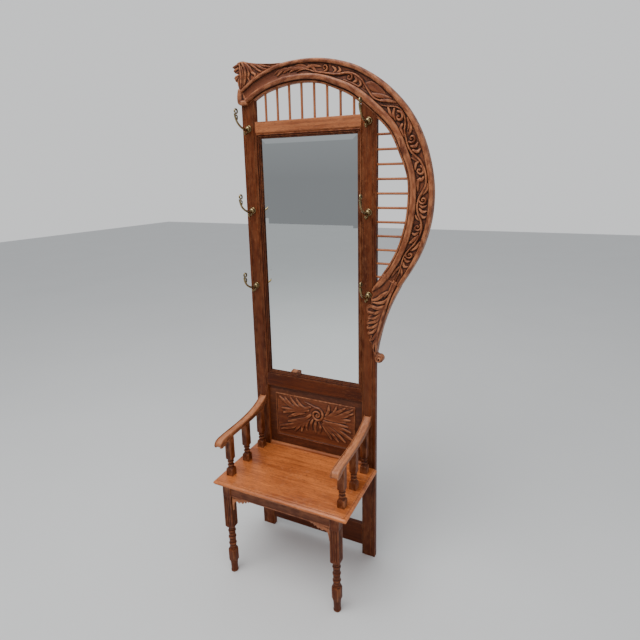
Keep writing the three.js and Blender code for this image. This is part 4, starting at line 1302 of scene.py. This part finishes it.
class HALLTREE_OT_aprons(bpy.types.Operator):
    """Makes the aprons under the seat and their leaf-cut corner brackets"""

    bl_idname = "halltree.aprons"
    bl_label = "Aprons and brackets"

    def execute(self, context):
        leg_low, leg_high = span("right_front_leg")
        top = leg_high[2]
        low, high = span("front_apron")
        face = low[1] + 3.0
        reach = leg_low[0] - FIT
        section = ([(high[1], top), (high[1], low[2]), (face - 0.5, low[2])]
                   + arc_points((face - 0.4, low[2] + 2.6), 2.5, 270, 90, 8)
                   + [(face, low[2] + 6.2), (face, top - 1.2), (face + 1.0, top)])
        shape = Shape().loft(along_axis(section, "x", -reach, reach))
        make_piece("front_apron_beaded", shape, FINISHES["carved"], ["front_apron"], grain="x",
                   sharp=44)
        for word, side in (("left", -1), ("right", 1)):
            self.side_apron(word, leg_high[1])
            self.bracket(word, side)
        return {"FINISHED"}

    def side_apron(self, word, leg_back):
        low, high = span(f"{word}_side_apron")
        section = rounded([(low[0], low[2]), (high[0], low[2]), (high[0], high[2]), (low[0], high[2])], 1.6)
        shape = Shape().loft(along_axis(section, "y", leg_back + FIT, high[1]))
        make_piece(f"{word}_side_apron_board", shape, FINISHES["frame"],
                   [f"{word}_side_apron"], grain="y")

    def bracket(self, word, side):
        low, high = span(f"{word}_apron_bracket")
        leg = max(abs(low[0]), abs(high[0]))
        top, foot = high[2], low[2]
        lobes = [(142, top), (142, top - 4), (146, top - 10), (150, top - 12), (152, top - 6.5),
                 (156, top - 8),
                 (160.5, top - 17), (164.5, top - 18.5), (166, top - 11.5), (171, top - 13),
                 (175.5, top - 24),
                 (180, top - 26), (182, top - 18), (188, top - 19), (193, top - 27), (198, top - 27.5),
                 (201, top - 20), (208, top - 20), (214, top - 24), (219, top - 30), (222.5, top - 38),
                 (224.5, top - 50), (226, foot + 6), (228, foot), (leg, foot), (leg, top)]
        outline = np.array([(side * x, z) for x, z in lobes])
        veins = [[(224, top - 18), (200, top - 10), (150, top - 4)],
                 [(222, top - 22), (196, top - 17), (163, top - 12)],
                 [(220, top - 26), (204, top - 19), (188, top - 22)],
                 [(226, top - 12), (225, top - 40), (228, foot + 4)]]

        def surface(x, z):
            height = np.zeros_like(x)
            for vein in veins:
                cut_stroke(height, x * side, z, vein, 6.0, 3.2, valley=0.3, tip=0.2, root=0.8)
            return low[1] + 3.2 - height

        shape = carved_board(outline, surface, high[1], 1.5, round_over=1.5)
        make_piece(f"{word}_apron_bracket_leaf", shape, FINISHES["rail"],
                   [f"{word}_apron_bracket"], grain="x", carved=True, sharp=60)


def square_ring(centre, half, z, chamfer, flute=0.0, count=96):
    """A square section with cut corners and three flutes to a side, as a ring of points."""
    angle = (np.arange(count) + 0.5) * 2 * math.pi / count
    c, s = np.cos(angle), np.sin(angle)
    reach = half / np.maximum(np.abs(c), np.abs(s))
    corner = (2 * half - chamfer) / (np.abs(c) + np.abs(s))
    radius = np.minimum(reach, corner)
    across = np.where(np.abs(c) > np.abs(s), s, c) * radius
    nearest = np.abs(across)[:, None] - np.array([0.0, 0.5])[None] * half
    dip = np.clip(1 - (nearest / (0.17 * half)) ** 2, 0, 1).max(axis=1) ** 0.5
    radius = radius - flute * dip
    return np.stack([centre[0] + radius * c, centre[1] + radius * s, np.full(count, z)], 1)


def round_ring(centre, radius, z, count=96):
    angle = (np.arange(count) + 0.5) * 2 * math.pi / count
    return np.stack([centre[0] + radius * np.cos(angle), centre[1] + radius * np.sin(angle),
                     np.full(count, z)], 1)


class HALLTREE_OT_legs(bpy.types.Operator):
    """Makes the two front legs: fluted squares over ringed turnings"""

    bl_idname = "halltree.legs"
    bl_label = "Front legs"

    def execute(self, context):
        for word in ("left", "right"):
            low, high = span(f"{word}_front_leg")
            centre = (low + high) / 2
            half = (high[0] - low[0]) / 2
            self.leg(word, centre, half, high[2])
        return {"FINISHED"}

    def leg(self, word, centre, half, top):
        flute = in_mm(sizes().flute_depth)
        rings = [round_ring(centre, r, z) for r, z in (
            (13.4, 0.0), (15.0, 0.7), (15.9, 2.4), (16.0, 5.4), (15.2, 7.4), (14.2, 8.4), (14.3, 11.0),
            (14.8, 24.0), (15.6, 40.0), (16.6, 49.0), (17.6, 54.0))]
        block = [(16.6, 56.4, 12), (19.0, 59.0, 10), (19.2, 61.0, 9), (19.2, 110.0, 9), (19.0, 112.0, 10),
                 (16.8, 116.0, 12)]
        rings += [square_ring(centre, h, z, chamfer) for h, z, chamfer in block]
        rings += [round_ring(centre, r, z) for r, z in self.turning()]
        rings += [square_ring(centre, h, z, chamfer) for h, z, chamfer in (
            (14.4, 220.0, 14), (15.0, 222.5, 13), (17.4, 228.0, 9), (19.6, 232.0, 4), (half, 233.5, 2.2),
            (half, 238.0, 2.0))]
        rings += [square_ring(centre, half, 240.0 + 3 * k, 2.0, flute * math.sin(k / 4 * math.pi / 2))
                  for k in range(5)]
        rings += [square_ring(centre, half, z, 2.0, flute) for z in (300.0, 370.0)]
        rings += [square_ring(centre, half, 374.0 + 3 * k, 2.0, flute * math.cos(k / 4 * math.pi / 2))
                  for k in range(5)]
        rings += [square_ring(centre, half, z, 2.0) for z in (392.0, top)]
        shape = Shape().loft(rings)
        make_piece(f"{word}_front_leg_turned", shape, FINISHES["frame"],
                   [f"{word}_front_leg"], sharp=40)

    def turning(self):
        """Radius and height pairs of the three ringed stretches between the squares."""
        profile = [(15.6, 118.0), (14.6, 121.0), (13.6, 124.5)]
        for ring in (143.0, 175.0, 206.0):
            profile += [(14.6, ring - 14), (13.6, ring - 9), (13.2, ring - 5.2), (14.2, ring - 4.2),
                        (16.0, ring - 3.2), (16.9, ring - 1.6), (17.1, ring), (16.9, ring + 1.6),
                        (16.0, ring + 3.2), (14.2, ring + 4.2), (13.2, ring + 5.2), (13.6, ring + 9)]
        return profile + [(14.0, 217.5)]


class HALLTREE_OT_arms(bpy.types.Operator):
    """Makes the two shaped arms and the six spindles that hold them"""

    bl_idname = "halltree.arms"
    bl_label = "Arms and spindles"

    TOP = [(-FIT, 706), (-20, 695), (-42, 684), (-90, 669), (-150, 660), (-215, 656), (-285, 655),
           (-325, 653)]
    NOSE = [(-325, 653), (-345, 648), (-354, 638), (-356.4, 628), (-351, 619.5), (-340, 616.4), (-324, 619),
            (-308, 627)]
    UNDER = [(-308, 627), (-270, 633), (-200, 635), (-140, 637), (-90, 641), (-45, 650), (-FIT, 664)]

    def execute(self, context):
        outline = np.concatenate([smooth(self.TOP, 5)[:-1], smooth(self.NOSE, 4)[:-1], smooth(self.UNDER, 5)])
        for word in ("left", "right"):
            low, high = span(f"{word}_arm")
            rings = plate_rings(outline, "x", low[0], high[0], 4.0, steps=4)
            make_piece(f"{word}_arm_shaped", Shape().loft(rings), FINISHES["arm"],
                       [f"{word}_arm"], grain="y", sharp=40)
            for place in ("front", "middle", "back"):
                self.spindle(f"{word}_{place}_spindle")
        return {"FINISHED"}

    def spindle(self, name):
        low, high = span(name)
        centre = (low + high) / 2
        half = (high[0] - low[0]) / 2
        under = np.array(sorted(smooth(self.UNDER, 5).tolist()))
        seat = span("seat_board")[1][2] + FIT
        rings = [square_ring(centre, h, z, chamfer, count=64) for h, z, chamfer in (
            (half, seat, 2.0), (half, 484.0, 2.0), (half - 0.6, 486.5, 3.0), (13.6, 490.0, 9.0))]
        neck = [(12.0, 492.5), (10.6, 496.0), (10.8, 498.4), (13.2, 499.4), (14.2, 501.0), (14.4, 502.4),
                (14.0, 504.2), (12.6, 505.4), (10.4, 506.6), (9.8, 510.5), (10.4, 514.6), (12.4, 515.6),
                (13.8, 517.0), (14.1, 519.0), (13.6, 521.0), (12.0, 522.4), (11.0, 524.0), (12.4, 526.4)]
        rings += [round_ring(centre, r, z, 64) for r, z in neck]
        rings += [square_ring(centre, h, z, chamfer, count=64) for h, z, chamfer in (
            (13.2, 528.0, 9.0), (14.6, 532.0, 4.0), (half - 1, 534.5, 2.0))]
        shape_top = square_ring(centre, half - 1, 0.0, 2.0, count=64)
        shape_top[:, 2] = np.interp(shape_top[:, 1], under[:, 0], under[:, 1]) - FIT
        rings.append(shape_top)
        make_piece(f"{name}_turned", Shape().loft(rings), FINISHES["frame"], [name], sharp=40)


def stile_rooms():
    """The space the two stiles take, which the pieces fitted over them leave free."""
    rooms = {}
    for word in ("left", "right"):
        low, high = span(f"{word}_stile")
        rooms[word] = (low - [FIT, FIT, 60], high + [FIT, 8, FIT])
    return rooms


class HALLTREE_OT_harp(bpy.types.Operator):
    """Makes the harp's glued boards with their rims and running vine, and its leafy foot"""

    bl_idname = "halltree.harp"
    bl_label = "Harp"

    def execute(self, context):
        rooms = stile_rooms()
        self.left(rooms["left"])
        for name, number, grain in (("harp_shoulder", 1, leaning(1, -0.95)),
                                    ("harp_side", 2, leaning(0.02, -1))):
            shape = band_shape(CUTS[number] + 0.002, CUTS[number + 1] - 0.002)
            if name == "harp_shoulder":
                shape = with_room(shape, rooms["right"])
            make_piece(f"{name}_vine", shape, FINISHES["carved"], [name], grain=grain,
                       carved=True, sharp=60)
        self.foot(rooms["right"])
        return {"FINISHED"}

    def left(self, room):
        shape = with_room(band_shape(CUTS[0], CUTS[1] - 0.002), room)
        drop = [(-287, 2064), (-291, 2063.5), (-302, 2066), (-307, 2050), (-311.5, 2035), (-312.3, 2019),
                (-307.5, 2008), (-298, 2001.8), (-286, 1999.6), (-274, 2001.2), (-261, 2002), (-262, 2010)]

        def surface(x, z):
            height = np.zeros_like(x)
            cut_stroke(height, x, z, [(-298, 2070), (-299, 2040), (-299, 2014)], 13, 9, tip=0.9, root=1.0)
            cut_stroke(height, x, z, [(-258, 2014), (-276, 2010), (-296, 2013)], 11, 9, tip=0.9, root=1.0)
            inside_band = (x + 289) * 0.909 + (z - 2062) * 0.416
            return HARP_FRONT + 9.0 - height + 6 * np.clip(inside_band / 3, 0, 1)

        lump = with_room(carved_board(drop, surface, HARP_BACK - 0.4, 1.5, round_over=4.0), room)
        shape.add(np.concatenate(lump.points), lump.faces)
        make_piece("harp_left_vine", shape, FINISHES["carved"], ["harp_left"],
                   grain=leaning(1, 0.3), carved=True, sharp=60)

    # Leaves of the foot: path from the outer edge to the tip, then half width.
    LEAVES = [
        ([(352, 1262), (330, 1246), (308, 1228), (284, 1221)], 8.0),
        ([(356, 1240), (338, 1220), (312, 1212), (288, 1213)], 7.0),
        ([(352, 1216), (338, 1200), (308, 1189), (284, 1195), (267, 1187)], 8.5),
        ([(342, 1192), (322, 1180), (298, 1168), (269, 1172)], 7.5),
        ([(335, 1186), (315, 1160), (298, 1147), (272, 1143)], 7.0),
        ([(326, 1164), (310, 1142), (292, 1130), (266, 1122)], 7.5),
        ([(318, 1140), (304, 1118), (290, 1108), (267, 1101)], 7.0),
        ([(313, 1118), (300, 1098), (288, 1086), (270, 1080)], 7.0),
        ([(307, 1092), (298, 1070), (289, 1056), (277, 1048)], 6.0),
        ([(303, 1064), (297, 1044), (293, 1022), (291, 1004)], 5.5),
    ]
    # Strands that run on from the band: path, half width and height.
    STRANDS = [
        ([(386, 1308), (366, 1262), (346, 1208), (330, 1160), (318, 1118), (308, 1080), (303, 1040),
          (304, 1000)], 7.5, 0.95),
        ([(374, 1306), (357, 1264), (336, 1238)], 5.0, 0.85), ([(402, 1298), (390, 1272), (372, 1236),
                                                                (352, 1182)], 7.5, 0.9),
        ([(350, 1338), (337, 1314), (312, 1286), (284, 1262)], 11.0, 1.0),
    ]
    LEAF_TIPS = [
        (294, 992), (290, 1006), (286, 1024), (281, 1038), (275, 1042), (272, 1050), (279, 1062), (278, 1070),
        (266, 1074), (264, 1083), (272, 1092), (262, 1096), (260.5, 1105), (268, 1113), (260, 1118),
        (260, 1127), (269, 1136), (265, 1142), (266, 1150), (277, 1159), (263, 1166), (261, 1176),
        (260, 1189),
        (268, 1199), (281, 1205), (281, 1218), (280, 1228), (286, 1242), (283, 1258), (290, 1272),
        (318, 1319),
        (327.5, 1332),
    ]

    def foot(self, room):
        band = with_room(band_shape(CUTS[3] + 0.002, CUTS[4]), room)
        outline = np.concatenate([
            [(403, 1291.5)],
            smooth([(399, 1281), (360, 1200), (331, 1118), (313, 1045), (303, 992)], 6),
            smooth([(310, 988.5), (322, 987), (330.5, 976), (328, 962), (315, 955.5), (302, 960),
                    (296, 974)], 4),
            self.LEAF_TIPS])
        relief = in_mm(sizes().foot_relief)

        def surface(x, z):
            height = np.zeros_like(x)
            for path, width, rise in self.STRANDS:
                cut_stroke(height, x, z, path, width, relief * rise, tip=0.5, root=0.9)
            for path, width in self.LEAVES:
                cut_stroke(height, x, z, path, width, relief, valley=0.3, tip=0.4, root=0.5)
            curl = spiral((314, 972), 120, 1.3, 13, 4, steps=14)
            cut_stroke(height, x, z, curl, 5.0, relief * 0.9, tip=0.8, per_span=3)
            inside_band = (x - 361) * 0.474 + (z - 1305) * 0.880
            return HARP_FRONT + relief - height + 6 * np.clip(inside_band / 3, 0, 1)

        leaf = with_room(carved_board(outline, surface, HARP_BACK - 0.4, 1.4, round_over=2.5), room)
        band.add(np.concatenate(leaf.points), leaf.faces)
        make_piece("harp_foot_leaves", band, FINISHES["carved"], ["harp_foot"],
                   grain=leaning(-0.5, -1), carved=True, sharp=60)


class HALLTREE_OT_lion(bpy.types.Operator):
    """Makes the lion's head with its open mouth and flowing mane"""

    bl_idname = "halltree.lion"
    bl_label = "Lion's head"

    OUTLINE = [
        (-92, 2145), (-141, 2147), (-206, 2154), (-243, 2161), (-262, 2167), (-276, 2170.6), (-287, 2169.5),
        (-297, 2165.5), (-302, 2161), (-312, 2157), (-324, 2153.5), (-324.6, 2149), (-318, 2143.5),
        (-322, 2139), (-321, 2133), (-315.5, 2128), (-302, 2124), (-302.5, 2119.5), (-315, 2118),
        (-317, 2113), (-320.5, 2108), (-318, 2101), (-312, 2095), (-304, 2088), (-303.5, 2076),
        (-302.5, 2067),
    ]
    UNDER = [(-293, 2064), (-280, 2066), (-219, 2103), (-150, 2130.5), (-100, 2143.5)]

    # Locks of the mane from the crown to the rim, then half width.
    LOCKS = [
        ([(-284, 2167), (-236, 2158), (-180, 2151), (-120, 2146), (-95, 2145)], 4.5, 0.85),
        ([(-205, 2152), (-175, 2142), (-145, 2136)], 4.5, 0.7),
        ([(-240, 2160), (-204, 2146), (-180, 2133), (-164, 2130)], 6.0, 0.8),
        ([(-256, 2164), (-225, 2148), (-205, 2131), (-190, 2123)], 6.0, 0.85),
        ([(-266, 2165), (-242, 2142), (-229, 2122), (-216, 2114), (-219, 2105)], 6.5, 0.95),
        ([(-273, 2166), (-254, 2145), (-246, 2122), (-250, 2104), (-244, 2090)], 6.0, 0.85),
        ([(-279, 2166), (-267, 2146), (-262, 2122), (-265, 2098), (-272, 2080)], 6.5, 1.0),
        ([(-281, 2150), (-275, 2122), (-275, 2096), (-280, 2074)], 4.0, 0.7),
        ([(-290, 2162), (-287, 2136), (-285, 2109), (-288, 2082), (-293, 2060)], 7.0, 1.0),
    ]
    # The face: brow, snout, upper lip, jaw, chin and beard, then half width and height.
    FACE = [
        ([(-282, 2166), (-296, 2163), (-304, 2159)], 5.0, 0.95),
        ([(-294, 2159), (-310, 2155), (-323, 2150)], 6.0, 1.0),
        ([(-298, 2146), (-310, 2141), (-319, 2136)], 6.0, 0.6),
        ([(-294, 2134), (-300, 2130), (-309, 2129)], 4.0, 0.45),
        ([(-294, 2119), (-306, 2115), (-318, 2108)], 5.0, 0.85),
        ([(-299, 2111), (-310, 2105), (-313, 2097)], 5.0, 0.7),
        ([(-297, 2104), (-300, 2092), (-299, 2074)], 4.5, 0.6),
    ]
    EYE = (-293, 2151)

    def execute(self, context):
        outline = np.array(self.OUTLINE + self.UNDER)
        relief = in_mm(sizes().mane_relief)

        def surface(x, z):
            height = np.zeros_like(x)
            for path, width, rise in self.LOCKS + self.FACE:
                cut_stroke(height, x, z, path, width, relief * rise, valley=0.12, tip=0.5, root=0.75)
            eye = np.hypot(x - self.EYE[0], z - self.EYE[1])
            height = np.where(eye < 4.0, height * 0.45, height)
            height = np.maximum(height, relief * 0.8 * np.sqrt(np.clip(1 - (eye / 2.2) ** 2, 0, 1)))
            return HARP_FRONT + relief * 0.95 - height

        shape = with_room(carved_board(outline, surface, HARP_BACK, 1.3, round_over=3.0),
                          stile_rooms()["left"])
        make_piece("lion_head_carved", shape, FINISHES["carved"], ["lion_head"],
                   grain="x", carved=True, sharp=60)
        return {"FINISHED"}


class HALLTREE_OT_rods(bpy.types.Operator):
    """Makes the turned rods that stand like strings in the harp"""

    bl_idname = "halltree.rods"
    bl_label = "Rods"

    def execute(self, context):
        for name in sorted(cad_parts):
            if "_rod_" in name:
                self.rod(name)
        return {"FINISHED"}

    def rod(self, name):
        low, high = span(name)
        middle = (low + high) / 2
        radius = (high[1] - low[1]) / 2
        upright = name.startswith("upright")
        ends = (low[2], high[2]) if upright else (low[0], high[0])
        angle = np.arange(20) * 2 * math.pi / 20
        rings = []
        for place in np.linspace(*ends, 7):
            swell = radius * (0.97 + 0.03 * math.sin(place * 0.05))
            u, v = swell * np.cos(angle), swell * np.sin(angle)
            fixed = np.full(20, place)
            rings.append(np.stack([middle[0] + u, middle[1] + v, fixed], 1) if upright
                         else np.stack([fixed, middle[1] + u, middle[2] + v], 1))
        make_piece(f"{name}_turned", Shape().loft(rings), FINISHES["rail"], [name],
                   grain="z" if upright else "x")


class HALLTREE_OT_hooks(bpy.types.Operator):
    """Makes the six cast brass hooks with their curled tips"""

    bl_idname = "halltree.hooks"
    bl_label = "Hooks"

    def execute(self, context):
        for word in ("left", "right"):
            for level in ("top", "middle", "low"):
                self.hook(f"{word}_{level}_hook")
        return {"FINISHED"}

    def hook(self, name):
        low, high = span(name)
        x = (low[0] + high[0]) / 2
        z = {"top": 1908, "middle": 1570, "low": 1238}[name.split("_")[1]]
        shape = Shape()
        self.boss(shape, x, z)
        arm = smooth([(-6, -4), (-22, -5), (-42, -2), (-62, 6), (-80, 19), (-91, 36), (-95, 52)], 6)
        self.bar(shape, x, z, arm, np.interp(np.linspace(0, 1, len(arm)), [0, 0.12, 0.5, 1],
                                             [5.6, 5.0, 4.3, 3.8]))
        top = spiral((-85, 61), 200, -1.0, 9.6, 8.0, steps=24)
        self.bar(shape, x, z, top, np.linspace(3.2, 2.6, len(top)), flat=1.2)
        low_curl = spiral((-84, 41), 150, 1.0, 8.6, 5.0, steps=20)
        self.bar(shape, x, z, low_curl, np.linspace(2.8, 2.2, len(low_curl)), flat=1.1)
        spur = smooth([(-84, 26), (-78, 32), (-77, 38)], 4)
        self.bar(shape, x, z, spur, np.linspace(2.6, 1.4, len(spur)))
        drop = smooth([(-6, -5), (-12, -14), (-20, -22), (-29, -24), (-35, -18)], 5)
        self.bar(shape, x, z, drop, np.linspace(3.8, 2.9, len(drop)))
        self.ball(shape, (x, -35.5, z - 15.5), 4.4)
        make_piece(f"{name}_cast", shape, FINISHES["brass"], [name], carved=True, sharp=50)

    def bar(self, shape, x, z, line, radii, flat=1.0):
        path = np.array([(x, y, z + h) for y, h in line])
        shape.tube(path, radii, sides=14, flat=flat)

    def ball(self, shape, centre, radius):
        turn = np.linspace(-math.pi / 2 + 0.12, math.pi / 2 - 0.12, 11)
        shape.turned([(radius * math.cos(a), centre[2] + radius * math.sin(a)) for a in turn], centre, 18)

    def boss(self, shape, x, z):
        """A beaded rosette under a domed cap, turned about the hook's own level axis."""
        profile = [(12.0, 0.0), (13.8, -0.5), (14.0, -2.2), (13.2, -3.6), (11.6, -4.0), (11.4, -4.8),
                   (12.0, -6.0), (11.6, -8.2), (10.6, -11.0), (8.6, -14.0), (5.8, -16.3), (2.6, -17.6),
                   (0.4, -17.9)]
        angle = np.arange(28) * 2 * math.pi / 28
        rings = [np.stack([x + r * np.cos(angle), np.full(28, y - FIT), z + r * np.sin(angle)], 1)
                 for r, y in profile]
        shape.loft(rings)
        pin = [np.stack([x + 3 * np.cos(angle), np.full(28, y), z + 3 * np.sin(angle)], 1) for y in (-1.0,
                                                                                                     11.5)]
        shape.loft(pin)


# ---- panel and registration --------------------------------------------------------------

STEPS = (HALLTREE_OT_finishes, HALLTREE_OT_stage, HALLTREE_OT_stiles, HALLTREE_OT_rails,
         HALLTREE_OT_mirror, HALLTREE_OT_panel, HALLTREE_OT_seat, HALLTREE_OT_aprons, HALLTREE_OT_legs,
         HALLTREE_OT_arms, HALLTREE_OT_harp, HALLTREE_OT_lion, HALLTREE_OT_rods, HALLTREE_OT_hooks)


class HALLTREE_PT_sidebar(bpy.types.Panel):
    """Lists the hall tree's settings and the steps that build it"""

    bl_idname = "HALLTREE_PT_sidebar"
    bl_label = "Hall tree"
    bl_space_type = "VIEW_3D"
    bl_region_type = "UI"
    bl_category = "Hall tree"

    def draw(self, context):
        scene = context.scene
        for group in (scene.hall_tree_sizes, scene.hall_tree_finish, scene.hall_tree_stage):
            box = self.layout.box()
            for key in group.__annotations__:
                box.prop(group, key)
        for step in STEPS:
            self.layout.operator(step.bl_idname)


GROUPS = {"hall_tree_sizes": HallTreeSizes, "hall_tree_finish": HallTreeFinish,
          "hall_tree_stage": HallTreeStage}


def register():
    for made in (*GROUPS.values(), *STEPS, HALLTREE_PT_sidebar):
        bpy.utils.register_class(made)
    for name, group in GROUPS.items():
        setattr(bpy.types.Scene, name, bpy.props.PointerProperty(type=group))


def unregister():
    for name in GROUPS:
        delattr(bpy.types.Scene, name)
    for made in (HALLTREE_PT_sidebar, *STEPS[::-1], *GROUPS.values()):
        bpy.utils.unregister_class(made)


def main():
    register()
    for step in STEPS:
        group, name = step.bl_idname.split(".")
        getattr(getattr(bpy.ops, group), name)()


if __name__ == "__main__":
    main()
